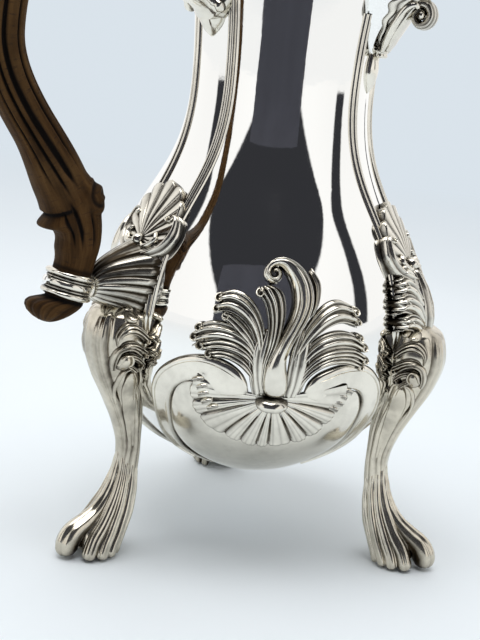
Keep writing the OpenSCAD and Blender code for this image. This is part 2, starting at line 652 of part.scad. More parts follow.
// The carved spur on the outside, above the collar
function spur(i, t) = 3.6*bump(i, collar_ring - 4, 2.4)*pow(max(cos(t), 0), 3);
function flute(i, t) = i >= collar_ring - 1 ? 0
    : 0.045*cos(8*t)*ease(i/3)*ease((collar_ring - 1 - i)/3);
function wood_ring(i) = let (
        c = handle_line[i],
        nrm = i == 0 ? [socket_dir[1], -socket_dir[0]] : path_normal(handle_line, i))
    [for (k = [0:handle_points - 1]) let (t = 360*k/handle_points,
        a = wood_depth(i)*(1 + flute(i, t)) + spur(i, t), b = wood_width(i)*(1 + flute(i, t)))
        [c[0] - a*cos(t)*nrm[0], -b*sin(t), c[1] - a*cos(t)*nrm[1]]];

module handle() color(wood) {
    difference() {
        skin([for (i = [0:last_ring]) wood_ring(i)]);
        at_collar() rotate([0, 90, 0])
            translate([0, 0, wood_lower_r - lower_pin_depth])
                cylinder(r = pin_r + seam, h = 2*lower_pin_depth, $fn = 24);
    }
    along_socket() difference() {
        translate([0, 0, socket_reach(upper_socket_end) - tenon_len])
            cylinder(r = tenon_r, h = tenon_len + 1.5, $fn = 48);
        translate([0, 0, socket_reach(pin_spot)]) rotate([90, 0, 0])
            cylinder(r = pin_r + seam, h = 4*tenon_r, center = true, $fn = 24);
    }
}

// ---- Lid ----

lid_z = rim_z + run_gap;
lid_r = rim_r + rim_wire_out - 0.4;
lid_foot_r = rim_r - 1;
finial_seat_r = 6;
lid_top_z = lid_z + lid_h;
lid_curve = [[lid_foot_r, lid_z + 2.6], [lid_foot_r - 3, lid_z + 0.55*lid_h],
             [finial_seat_r + 9, lid_z + 0.66*lid_h], [finial_seat_r, lid_top_z]];
lid_outline = bez_path(lid_curve, 16);
stud_r = 2;
module lid() silver_piece() rotate_extrude($fn = 96) polygon(concat(
    [[lid_foot_r, lid_z]], lid_outline, [[stud_r + seam, lid_top_z]],
    [[stud_r + seam, lid_top_z - lid_wall], [finial_seat_r - 0.9, lid_top_z - lid_wall]],
    [for (p = reversed(offset_path(lid_outline, -lid_wall))) if (p[1] < lid_top_z - 2.2 && p[1] > lid_z + 2.6) p],
    [[lid_foot_r - lid_wall, lid_z]]));
module lid_edge_wire() silver_piece() rotate_extrude($fn = 96) polygon([
    [lid_foot_r + seam, lid_z],
    [lid_r, lid_z],
    [lid_r + 0.4, lid_z + 0.7],
    [lid_r, lid_z + 1.5],
    [lid_r - 1.1, lid_z + 1.8],
    [lid_r - 1.1, lid_z + 2.3],
    [lid_foot_r + seam, lid_z + 2.5]]);
bezel_r = body_r(rim_z - bezel_h) - wall - 0.6;
module lid_bezel() silver_piece() rotate_extrude($fn = 96) polygon([
    [bezel_r - 1, rim_z - bezel_h],
    [bezel_r - 0.4, rim_z - bezel_h],
    [bezel_r, rim_z - bezel_h + 0.8],
    [bezel_r, lid_z - seam],
    [lid_foot_r - lid_wall - 6*seam, lid_z - seam],
    [lid_foot_r - lid_wall - 6*seam, lid_z + 1],
    [bezel_r - 1, lid_z + 1]]);
// Reeded edges that carry the bands on over the lid
module lid_bands() silver_piece() for (a = [handle_angle, spout_angle, rear_angle]) at(a)
    for (side = [-1, 1]) intersection() {
        rotate(-60) rotate_extrude(angle = 120, $fn = 96)
            polygon(concat([for (p = offset_path(lid_outline, thread_h*0.8)) if (p[1] > lid_z + 3 && p[1] < lid_top_z - 2) p],
                [for (p = reversed(offset_path(lid_outline, seam))) if (p[1] > lid_z + 3 && p[1] < lid_top_z - 2) p]));
        rotate([90, 0, 90]) linear_extrude(lid_r)
            polygon([[side*(band_half*0.86 - thread_w), lid_z], [side*(band_half*0.86 + thread_w), lid_z],
                     [side*(3.4 + thread_w*0.5), lid_top_z], [side*(3.4 - thread_w*0.5), lid_top_z]]);
    }

// ---- Finial: a bud on a leafy calyx, with a stud and nut under the lid ----

calyx_h = 6.5;
bud_z = lid_top_z + calyx_h;
bud_h = finial_h - calyx_h;
module finial() silver_piece() rotate_extrude($fn = 48) polygon(concat(
    [[0, lid_top_z - lid_wall - 5], [stud_r, lid_top_z - lid_wall - 5], [stud_r, bud_z]],
    [for (t = [0:8:100]) [finial_r*sin(min(40 + 1.2*t, 160))*(t > 60 ? 1 - 0.009*(t - 60) : 1), bud_z + bud_h*0.76*t/100]],
    [[1.4, bud_z + 0.84*bud_h], [2.2, bud_z + 0.92*bud_h], [1.3, bud_z + bud_h], [0, bud_z + bud_h + 0.4]]));
module finial_calyx() silver_piece() difference() {
    rotate_extrude($fn = 48) polygon([
        [stud_r + seam, lid_top_z + seam], [finial_seat_r + 0.6, lid_top_z + seam],
        [finial_seat_r + 0.9, lid_top_z + 1], [finial_seat_r - 1.4, lid_top_z + 2],
        [finial_seat_r - 2, lid_top_z + 3], [finial_seat_r + 1.2, lid_top_z + calyx_h - 0.8],
        [finial_seat_r + 0.8, lid_top_z + calyx_h - seam], [stud_r + seam, lid_top_z + calyx_h - seam]]);
    for (k = [0:7]) rotate(45*k) translate([finial_seat_r + 2.2, 0, lid_top_z + 3.2])
        cylinder(r = 1.5, h = calyx_h, $fn = 20);
}
module finial_nut() silver_piece() difference() {
    translate([0, 0, lid_top_z - lid_wall - 3.2]) cylinder(r = 4.6, h = 3.2 - seam, $fn = 6);
    translate([0, 0, lid_top_z - lid_wall - 4]) cylinder(r = stud_r + seam, h = 5, $fn = 32);
}

// ---- Lid hinge on the handle side ----

hinge_z = rim_z + 1.6;
outer_knuckle_len = band_half - 1.5*thread_w - knuckle_len/2 - 2*0.2;
side_gap = 0.2;
knuckle_gap_x = hinge_x - knuckle_r;
module knuckle(start, length) translate([0, start, 0]) rotate([-90, 0, 0]) difference() {
    cylinder(r = knuckle_r, h = length, $fn = 40);
    translate([0, 0, -1]) cylinder(r = hinge_pin_r + hinge_clear, h = length + 2, $fn = 32);
}
plate_z = rim_z - rim_wire_h - seam;
module body_hinge() silver_piece() for (s = [-1, 1]) {
    start = s > 0 ? knuckle_len/2 + side_gap : -knuckle_len/2 - side_gap - outer_knuckle_len;
    translate([hinge_x, 0, hinge_z]) knuckle(start, outer_knuckle_len);
    difference() {
        translate([0, start, 0]) rotate([90, 0, 0]) mirror([0, 0, 1]) linear_extrude(outer_knuckle_len)
            polygon([[body_r(plate_z - 4.6) - 4, plate_z - 4.6], [body_r(plate_z - 4.6) + 2, plate_z - 4.6],
                     [hinge_x + knuckle_r, hinge_z - 3.4], [hinge_x + knuckle_r*cos(20), hinge_z - knuckle_r*sin(20)],
                     [hinge_x, hinge_z], [knuckle_gap_x + 0.6, hinge_z - 1.4], [knuckle_gap_x + 0.6, plate_z - 0.4], [body_r(plate_z) - 4, plate_z - 0.4]]);
        rotate_extrude($fn = 96)
            polygon(concat([[0, neck_z]], outline_between(seam, neck_z, rim_z), [[0, rim_z]]));
        translate([hinge_x, 0, hinge_z]) rotate([90, 0, 0])
            cylinder(r = hinge_pin_r + hinge_clear, h = 60, center = true, $fn = 32);
    }
}
module lid_hinge() silver_piece() {
    translate([hinge_x, 0, hinge_z]) knuckle(-knuckle_len/2, knuckle_len);
    difference() {
        translate([0, knuckle_len/2, 0]) rotate([90, 0, 0]) linear_extrude(knuckle_len)
            polygon([[lid_r - 2.4, lid_z + 2.7], [hinge_x, lid_z + 2.7 - 1.2], [hinge_x, hinge_z + knuckle_r],
                     [lid_r - 2.4, hinge_z + knuckle_r]]);
        translate([hinge_x, 0, hinge_z]) rotate([90, 0, 0])
            cylinder(r = hinge_pin_r + hinge_clear, h = 60, center = true, $fn = 32);
    }
}
pin_half = knuckle_len/2 + side_gap + outer_knuckle_len;
module hinge_pin() silver_piece() translate([hinge_x, 0, hinge_z]) rotate([90, 0, 0]) {
    cylinder(r = hinge_pin_r, h = 2*pin_half + 0.6, center = true, $fn = 32);
    for (s = [-1, 1]) translate([0, 0, s*(pin_half + 0.7)])
        cylinder(r = hinge_pin_r + 0.9, h = 0.8, center = true, $fn = 32);
}
// An upright scroll to push the lid open with
thumb_foot = [hinge_x, hinge_z + knuckle_r + seam];
module thumbpiece() silver_piece() {
    translate([0, 2.6, 0]) rotate([90, 0, 0]) linear_extrude(5.2) difference() {
        polygon(stroke([thumb_foot + [-1.2, -0.8], thumb_foot + [-3, 0.45*thumb_h],
                        thumb_foot + [1.6, 0.5*thumb_h], thumb_foot + [0.6, thumb_h - knuckle_r - 2.2]], [4.2, 3.2, 2.4], 10));
        translate(thumb_foot - [20, 20]) square([40, 20]);
    }
    translate([thumb_foot[0] + 0.6, 0, thumb_foot[1] + thumb_h - knuckle_r - 2.4]) rotate([90, 0, 0])
        cylinder(r = 2.2, h = 11, center = true, $fn = 32);
}

// ---- Pieces in place ----

body_shell();
rim_wire();
at(handle_angle) band_edges();  // band_edges_handle
at(spout_angle) band_edges(true);  // band_edges_spout
at(rear_angle) band_edges();  // band_edges_rear
at(handle_angle) leg();  // leg_handle
at(spout_angle) leg();  // leg_spout
at(rear_angle) leg();  // leg_rear
at(handle_angle) knee_shell();  // knee_shell_handle
at(spout_angle) knee_shell();  // knee_shell_spout
at(rear_angle) knee_shell();  // knee_shell_rear
at(spout_angle) climbing_leaf(leaf_rings);  // knee_leaf_spout
at(rear_angle) climbing_leaf(leaf_rings);  // knee_leaf_rear
at(handle_angle) climbing_leaf(bracket_rings);  // handle_bracket
at(front_panel) cartouche();  // cartouche_front
at(right_panel) cartouche();  // cartouche_right
at(back_panel) cartouche();  // cartouche_back
at(spout_angle) spout();
at(spout_angle) spout_leaf();
at(spout_angle) spout_drop();
at(handle_angle) upper_socket();
at(handle_angle) upper_socket_drop();
at(handle_angle) upper_handle_pin();
at(handle_angle) lower_collar();
at(handle_angle) lower_handle_pin();
at(handle_angle) handle();
lid();
lid_edge_wire();
lid_bezel();
lid_bands();
finial();
finial_calyx();
finial_nut();
at(handle_angle) body_hinge();
at(handle_angle) lid_hinge();
at(handle_angle) hinge_pin();
at(handle_angle) thumbpiece();
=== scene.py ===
import bpy
import math
import numpy as np
from mathutils import Matrix, Vector


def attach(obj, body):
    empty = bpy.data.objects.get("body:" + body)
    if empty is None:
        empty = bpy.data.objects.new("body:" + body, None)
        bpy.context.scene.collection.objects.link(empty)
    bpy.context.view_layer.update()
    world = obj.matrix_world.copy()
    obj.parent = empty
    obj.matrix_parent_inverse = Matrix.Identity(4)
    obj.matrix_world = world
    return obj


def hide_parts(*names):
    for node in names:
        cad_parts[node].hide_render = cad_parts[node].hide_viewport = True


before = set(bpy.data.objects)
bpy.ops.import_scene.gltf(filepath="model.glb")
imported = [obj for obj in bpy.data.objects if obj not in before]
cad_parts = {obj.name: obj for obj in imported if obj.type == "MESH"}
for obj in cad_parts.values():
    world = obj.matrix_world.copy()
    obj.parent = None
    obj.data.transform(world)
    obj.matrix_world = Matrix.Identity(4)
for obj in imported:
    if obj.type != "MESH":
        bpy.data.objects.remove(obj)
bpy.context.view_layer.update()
bpy.ops.object.select_all(action="DESELECT")
MM = 0.001


# ---------------------------------------------------------------- the studio
# A camera a forearm's length away looks slightly down at the front panel, over a pale
# seamless table. The pot stands in a white light tent whose opening is behind the camera:
# polished silver shows the tent's white walls, its dark opening and its seams.

view_turn, eye_back, eye_z = -40, 0.41982, 0.17788
focal_length_px, picture_height_px, sensor = 1117.28, 640, 36
backdrop = (0.70, 0.77, 0.83, 1)
pitch, roll, yaw = math.radians(12.83), math.radians(5.91), math.radians(-0.83)
ahead = Vector((math.sin(yaw) * math.cos(pitch), math.cos(yaw) * math.cos(pitch), -math.sin(pitch)))
across = Vector((math.cos(yaw), -math.sin(yaw), 0))
above = across.cross(ahead)
right = math.cos(roll) * across + math.sin(roll) * above
up = math.cos(roll) * above - math.sin(roll) * across
facing = Matrix.Rotation(math.radians(view_turn), 3, "Z")
camera_data = bpy.data.cameras.new("camera")
camera = bpy.data.objects.new("camera", camera_data)
bpy.context.collection.objects.link(camera)
camera_data.sensor_width = sensor
camera_data.lens = focal_length_px * sensor / picture_height_px
camera_data.clip_start = 0.01
axes = Matrix([facing @ right, facing @ up, -(facing @ ahead)]).transposed()
camera.matrix_world = Matrix.Translation(facing @ Vector((0, -eye_back, eye_z))) @ axes.to_4x4()
bpy.context.scene.camera = camera
bpy.context.scene.view_settings.view_transform = "Standard"


class Wire:
    """A socket in a node tree that can be used in sums."""

    def __init__(self, tree, socket=None):
        self.tree, self.socket = tree, socket

    def node(self, kind, settings=None, sockets=None, out=0):
        """Adds a node, sets it up, then fills its sockets with numbers, colours or wires."""
        made = self.tree.nodes.new(kind)
        for key, value in (settings or {}).items():
            if key == "stops":
                stops = made.color_ramp.elements
                while len(stops) < len(value):
                    stops.new(0.5)
                for stop, (place, colour) in zip(stops, value):
                    stop.position, stop.color = place, (*colour, 1)
            else:
                setattr(made, key, value)
        for key, value in (sockets or {}).items():
            if isinstance(value, Wire):
                self.tree.links.new(value.socket, made.inputs[key])
            else:
                made.inputs[key].default_value = value
        return Wire(self.tree, made.outputs[out])

    def sum(self, operation, *values):
        return self.node("ShaderNodeMath", {"operation": operation}, dict(enumerate(values)))

    def __add__(self, other): return self.sum("ADD", self, other)
    def __radd__(self, other): return self.sum("ADD", other, self)
    def __sub__(self, other): return self.sum("SUBTRACT", self, other)
    def __rsub__(self, other): return self.sum("SUBTRACT", other, self)
    def __mul__(self, other): return self.sum("MULTIPLY", self, other)
    def __rmul__(self, other): return self.sum("MULTIPLY", other, self)
    def __truediv__(self, other): return self.sum("DIVIDE", self, other)
    def __abs__(self): return self.sum("ABSOLUTE", self)

    def at_least(self, low): return self.sum("MAXIMUM", self, low)

    def within(self):
        """Held between 0 and 1."""
        return self.node("ShaderNodeClamp", {}, {0: self})

    def step(self, soft):
        """A soft step from 0 to 1 where the value passes zero."""
        return (self / soft + 0.5).within()

    def mix(self, low, high):
        """A colour between low and high by this wire."""
        return self.node("ShaderNodeMix", {"data_type": "RGBA"}, {0: self, 6: low, 7: high}, 2)

    def into(self, shade, name):
        """Feeds this wire to an input of a shader."""
        self.tree.links.new(self.socket, shade.inputs[name])


def material(name):
    """A new material, its shader, and a wire to build its pattern on."""
    made = bpy.data.materials.new(name)
    made.use_nodes = True
    return made, made.node_tree.nodes["Principled BSDF"], Wire(made.node_tree)


world = bpy.data.worlds.new("tent")
bpy.context.scene.world = world
world.use_nodes = True
world.node_tree.nodes.clear()
air = Wire(world.node_tree)
way = air.node("ShaderNodeTexCoord")
split = way.node("ShaderNodeSeparateXYZ", {}, {0: way}).socket.node
x, y, z = (Wire(world.node_tree, split.outputs[k]) for k in range(3))
opening = math.radians(231)
front = x * math.cos(opening) + y * math.sin(opening)
side = abs(x * math.sin(opening) - y * math.cos(opening))
near = front.at_least(0.02)
# The opening is narrow at the table and wider overhead
gap = ((z / near).at_least(0) * 0.75 + 0.42 - side / near).step(0.06)
gap = gap * (z + 0.02).step(0.03) * (front - 0.2).step(0.1) * (0.93 - z).step(0.06)
seams = (0.11 - abs(front / side.at_least(0.02) - 0.16)).step(0.03) * (0.75 - z).step(0.05)
seams = seams + (0.04 - abs(side / (0 - front).at_least(0.02) - 0.75)).step(0.02) * (0.6 - z).step(0.05)
dark = (gap + seams * (z + 0.01).step(0.01)).within()
white = ((side * 3.0).sum("SINE", side * 3.0) * 0.06 + 0.92)
tent = dark.mix(white.mix((0, 0, 0, 1), (1.0, 1.0, 1.0, 1)), (0.030, 0.031, 0.036, 1))
lit = tent.node("ShaderNodeBackground", {}, {0: tent, 1: 1.08})
plain = air.node("ShaderNodeBackground", {}, {0: backdrop, 1: 1.0})
seen = air.node("ShaderNodeLightPath")
sky = air.node("ShaderNodeMixShader", {}, {0: seen, 1: lit, 2: plain})
world.node_tree.links.new(sky.socket, world.node_tree.nodes.new("ShaderNodeOutputWorld").inputs[0])

lamp_data = bpy.data.lights.new("overhead", "AREA")
lamp_data.shape, lamp_data.size, lamp_data.size_y, lamp_data.energy = "RECTANGLE", 1.2, 0.8, 10
lamp = bpy.data.objects.new("overhead", lamp_data)
bpy.context.collection.objects.link(lamp)
lamp.location = (-0.3, -0.12, 1.4)
lamp.rotation_euler = (Vector((0, 0, 0.1)) - lamp.location).to_track_quat("-Z", "Y").to_euler()

# A dark standing card behind the camera shows as the dark band up the neck
bpy.ops.mesh.primitive_plane_add(size=1)
card = bpy.context.object
card.name = "dark_card"
card.data.transform(Matrix.Diagonal((0.60, 0.42, 1, 1)))
card.data.transform(Matrix.Translation((0, 0.21, 0)))
card.data.transform(Matrix.Rotation(math.pi / 2, 4, "X"))
card.data.transform(Matrix.Translation((-0.02, -0.56, 0)))
card.data.transform(Matrix.Rotation(math.radians(view_turn), 4, "Z"))
card.visible_camera = card.visible_diffuse = card.visible_shadow = False
cloth, shade, weave = material("card_cloth")
fold = weave.node("ShaderNodeTexNoise", {}, {"Vector": weave.node("ShaderNodeTexCoord", out=3),
                                             "Scale": 5.0, "Detail": 3.0})
fold.mix((0.022, 0.023, 0.031, 1), (0.048, 0.048, 0.064, 1)).into(shade, "Base Color")
shade.inputs["Roughness"].default_value = 0.9
card.data.materials.append(cloth)

bpy.ops.mesh.primitive_plane_add(size=12, location=(0, 0, 0))
table = bpy.context.object
table.name = "table"
paper, shade, grain = material("table_paper")
spot = grain.node("ShaderNodeTexCoord", out=3)
cloud = grain.node("ShaderNodeTexNoise", {}, {"Vector": spot, "Scale": 2.5, "Detail": 2.0})
tint = cloud.mix((0.80, 0.86, 0.90, 1), (0.86, 0.91, 0.95, 1))
far_off = ((spot.node("ShaderNodeVectorMath", {"operation": "LENGTH"}, {0: spot}, 1) - 0.45) / 1.1).within()
tint.into(shade, "Base Color")
shade.inputs["Roughness"].default_value = 0.9
shade.inputs["Specular IOR Level"].default_value = 0.1
seen = grain.node("ShaderNodeLightPath")
haze = grain.node("ShaderNodeEmission", {}, {0: seen.mix((0.96, 0.97, 0.98, 1), backdrop), 1: 1.0})
fade = grain.node("ShaderNodeMixShader", {}, {0: far_off, 1: Wire(grain.tree, shade.outputs[0]), 2: haze})
fade.into(grain.tree.nodes["Material Output"], "Surface")
table.data.materials.append(paper)


# ---------------------------------------------------------------- the body
# A baluster body raised from one sheet of silver, planished smooth and polished to a
# mirror. Behind the spout it is pierced with rows of strainer holes.

def bezier(points, count, first=0):
    t = np.linspace(0, 1, count + 1)[first:, None]
    p = np.array(points, float)
    return (1 - t) ** 3 * p[0] + 3 * (1 - t) ** 2 * t * p[1] + 3 * (1 - t) * t * t * p[2] + t ** 3 * p[3]

belly_r, belly_z, neck_r, neck_z, rim_r, rim_z, wall = 58.7, 77, 32.8, 172, 37.2, 222, 1.1
bead_z, spout_foot, strainer_hole_r = 68, 186, 1.6
strainer_pitch = 2.6 * strainer_hole_r
handle_at, spout_at, rear_at = 180, 300, 60  # plan angles of the three bands
outline = np.vstack([
    bezier([[0, 25.5], [0.42 * belly_r, 25.5], [belly_r, 51.765], [belly_r, belly_z]], 60),
    bezier([[belly_r, belly_z], [belly_r, 131.625], [neck_r, 128.775], [neck_r, neck_z]], 70, 1),
    bezier([[neck_r, neck_z], [neck_r, 192], [35.25, 207], [rim_r, rim_z]], 36, 1)])
run = np.concatenate([[0], np.cumsum(np.hypot(*np.diff(outline, axis=0).T))])
slope = np.gradient(outline, run, axis=0)
slope /= np.hypot(*slope.T)[:, None]
run_at_bead = np.interp(bead_z, outline[:, 1], run)

def body_r(z):
    return np.interp(z, outline[:, 1], outline[:, 0])

def run_at(z):
    """Distance along the outline above the height of the cartouche's bead."""
    return np.interp(z, outline[:, 1], run) - run_at_bead

def on_body(angle, along, out):
    """Points on the body: plan angle in degrees, distance along the outline, height off it."""
    s = along + run_at_bead
    r = np.interp(s, run, outline[:, 0]) + out * np.interp(s, run, slope[:, 1])
    z = np.interp(s, run, outline[:, 1]) - out * np.interp(s, run, slope[:, 0])
    a = np.radians(angle)
    return np.stack([r * np.cos(a), r * np.sin(a), z], -1)

def solid(name, points, faces):
    """A mesh object from points in millimetres."""
    mesh = bpy.data.meshes.new(name)
    mesh.from_pydata((np.asarray(points) * MM).tolist(), [], faces)
    mesh.shade_smooth()
    made = bpy.data.objects.new(name, mesh)
    bpy.context.collection.objects.link(made)
    return made

def pick(thing):
    bpy.ops.object.select_all(action="DESELECT")
    thing.select_set(True)
    bpy.context.view_layer.objects.active = thing

def mark_recess(thing, values=None):
    """Says for each point how deep it lies in a crevice, where dirt and tarnish stay and painted shade
    darkens the colour.
    """
    mark = thing.data.attributes.new("recess", "FLOAT", "POINT")
    if values is not None:
        mark.data.foreach_set("value", values.astype(np.float32))

def face_outward(thing):
    pick(thing)
    bpy.ops.object.mode_set(mode="EDIT")
    bpy.ops.mesh.select_all(action="SELECT")
    bpy.ops.mesh.normals_make_consistent(inside=False)
    bpy.ops.object.mode_set(mode="OBJECT")

def stands_for(piece, nodes, look, body_name="pot"):
    """Dresses a piece and puts it in place of nodes of the frame, on their body."""
    piece.data.materials.clear()
    piece.data.materials.append(look)
    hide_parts(*nodes)
    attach(piece, body_name)

def turned(name, profile, steps, closed=True):
    """A profile of [radius, height] spun round the pot's axis."""
    n = len(profile)
    mesh = bpy.data.meshes.new(name)
    mesh.from_pydata([(r * MM, 0, z * MM) for r, z in profile],
                     [(i, (i + 1) % n) for i in range(n if closed else n - 1)], [])
    made = bpy.data.objects.new(name, mesh)
    bpy.context.collection.objects.link(made)
    pick(made)
    bpy.ops.object.mode_set(mode="EDIT")
    bpy.ops.mesh.select_all(action="SELECT")
    bpy.ops.mesh.spin(steps=steps, angle=2 * math.pi, center=(0, 0, 0), axis=(0, 0, 1))
    bpy.ops.mesh.select_all(action="SELECT")
    bpy.ops.mesh.remove_doubles(threshold=1e-6)
    bpy.ops.mesh.normals_make_consistent(inside=False)
    bpy.ops.object.mode_set(mode="OBJECT")
    bpy.ops.object.shade_smooth_by_angle(angle=math.radians(38))
    return made

def silver(name, tone, crevice, rough, wave, age=0.0):
    """Silver with crevices darkened by tarnish and painted shade, an uneven polish, soft planishing waves
    and tarnish patches.
    """
    made, shade, start = material(name)
    place = start.node("ShaderNodeTexCoord", out=3)
    deep = start.node("ShaderNodeAttribute", {"attribute_name": "recess"}, out=2)
    patch = start.node("ShaderNodeTexNoise", {}, {"Vector": place, "Scale": 60.0, "Detail": 3.0})
    haze = start.node("ShaderNodeTexNoise", {}, {"Vector": place, "Scale": 420.0, "Detail": 2.0})
    # The recess darkening is tarnish in the hollows plus painted shade; the noise patches are tarnish
    tarnish_and_shade = (deep * (0.8 + 0.5 * patch) + (patch + haze * 0.4 - 0.58).at_least(0) * (4 * age)).within()
    tarnish_and_shade.mix((*tone, 1), (*crevice, 1)).into(shade, "Base Color")
    (rough + deep * 0.22 + (patch - 0.45).at_least(0) * 0.12).into(shade, "Roughness")
    shade.inputs["Metallic"].default_value = 1.0
    swell = start.node("ShaderNodeTexNoise", {}, {"Vector": place, "Scale": 38.0, "Detail": 1.0})
    relief = {"Strength": 1.0, "Distance": wave, "Height": swell + haze * 0.03}
    start.node("ShaderNodeBump", {}, relief).into(shade, "Normal")
    return made

mirror_silver = silver("mirror_silver", (0.93, 0.925, 0.90), (0.30, 0.26, 0.20), 0.035, 0.00022)

inner = []
for p, d in zip(outline, slope):
    q = p - wall * np.array([d[1], -d[0]])
    if q[0] > 0.6 and q[1] < rim_z - 0.6:
        inner.append(q)
profile = ([tuple(p) for p in outline] + [(rim_r - wall, rim_z)]
           + [tuple(q) for q in reversed(inner)] + [(0, 26.6)])
body = turned("body", profile, 192, closed=False)
drills = []
for row in range(3):
    z = spout_foot + 9 + row * strainer_pitch
    # Three holes, then five and five, so that all stay inside the foot of the spout
    for k in range(-1 - min(row, 1), 2 + min(row, 1)):
        bpy.ops.mesh.primitive_cylinder_add(vertices=20, radius=strainer_hole_r * MM, depth=14 * MM)
        drill = bpy.context.object
        place = Matrix.Translation((float(body_r(z)) * MM, k * strainer_pitch * MM, z * MM))
        place = Matrix.Rotation(math.radians(spout_at), 4, "Z") @ place
        drill.data.transform(place @ Matrix.Rotation(math.pi / 2, 4, "Y"))
        drills.append(drill)
pick(drills[0])
for drill in drills:
    drill.select_set(True)
bpy.ops.object.join()
pick(body)
cut = body.modifiers.new("strainer", "BOOLEAN")
cut.object = drills[0]
bpy.ops.object.modifier_apply(modifier="strainer")
bpy.data.objects.remove(drills[0])
stands_for(body, ["body_shell"], mirror_silver)


# ---------------------------------------------------------------- the bands
# Three reeded wires, a tall one between two low ones, are soldered along each side of a
# band and run from the mouth down behind the legs.

cast_silver = silver("cast_silver", (0.84, 0.80, 0.705), (0.035, 0.027, 0.018), 0.13, 0.00014, 0.16)
band_half, thread_w = 10.2, 1.4

def reeded(name, angle, top):
    rows, count = [], 21
    for z in np.linspace(58, top, 150):
        row = []
        for k in range(count):
            q = (k / (count - 1) - 0.5) * 3.15
            crest = 1.5 if abs(q) < 0.5 else 0.95
            lift = crest * math.sqrt(max(0, 1 - ((q - round(q)) / 0.53) ** 2)) if abs(q) < 1.53 else 0
            lift = max(lift, 0) - (0.5 if k in (0, count - 1) else 0.05)
            row.append((q * thread_w, lift))
        rows.append((z, row))
    points, faces = [], []
    for side in (-1, 1):
        base = len(points)
        for z, row in rows:
            r0 = body_r(z)
            for off, lift in row:
                y = side * band_half + off
                s = run_at(z)
                a = math.degrees(math.asin(y / (r0 + 0.5)))
                points.append(on_body(angle + a, s, lift - 1.9 * max(0, min(1, (90 - z) / 12))))
        for i in range(len(rows) - 1):
            for k in range(count - 1):
                a = base + i * count + k
                faces.append((a, a + 1, a + count + 1, a + count))
    made = solid(name, points, faces)
    stands_for(made, [name.replace("band_wires", "band_edges")], cast_silver)

reeded("band_wires_handle", handle_at, 217)
reeded("band_wires_spout", spout_at, 199)
reeded("band_wires_rear", rear_at, 217)


# ---------------------------------------------------------------- the cartouches
# Each wide panel carries a cast and chased shell cartouche: a smooth crescent between two
# C-scrolls, a fluted fan below a bead, and a flame-shaped plume between ruffled wings.
# The drawing is in millimetres: sideways at the belly, and along the outline from the bead.

def smooth_line(points, count, even=True):
    """A Catmull-Rom curve through the points: in even steps, or equal ones from point to point."""
    p = np.array(points, float)
    p = np.vstack([2 * p[0] - p[1], p, 2 * p[-1] - p[-2]])
    out = []
    for i in range(1, len(p) - 2):
        t = np.linspace(0, 1, 24, endpoint=False)[:, None]
        a, b, c, d = p[i - 1:i + 3]
        out.append(0.5 * (2 * b + (c - a) * t + (2 * a - 5 * b + 4 * c - d) * t ** 2
                          + (3 * b - a - 3 * c + d) * t ** 3))
    out = np.vstack(out + [p[-2:-1]])
    walk = np.linspace(0, 1, len(out))
    if even:
        walk = np.concatenate([[0], np.cumsum(np.linalg.norm(np.diff(out, axis=0), axis=1))])
    return np.stack([np.interp(np.linspace(0, walk[-1], count), walk, out[:, k])
                     for k in range(out.shape[1])], -1)

def spread(values, t):
    """Values at even stations, eased between them."""
    t = np.asarray(t) * (len(values) - 1)
    i = np.clip(t.astype(int), 0, len(values) - 2)
    f = t - i
    f = f * f * (3 - 2 * f)
    v = np.array(values, float)
    return v[i] * (1 - f) + v[i + 1] * f

def soften(field, times):
    for _ in range(times):
        p = np.pad(field, 1, mode="edge")
        field = (p[:-2, 1:-1] + p[2:, 1:-1] + p[1:-1, :-2] + p[1:-1, 2:] + field) / 5
    return field

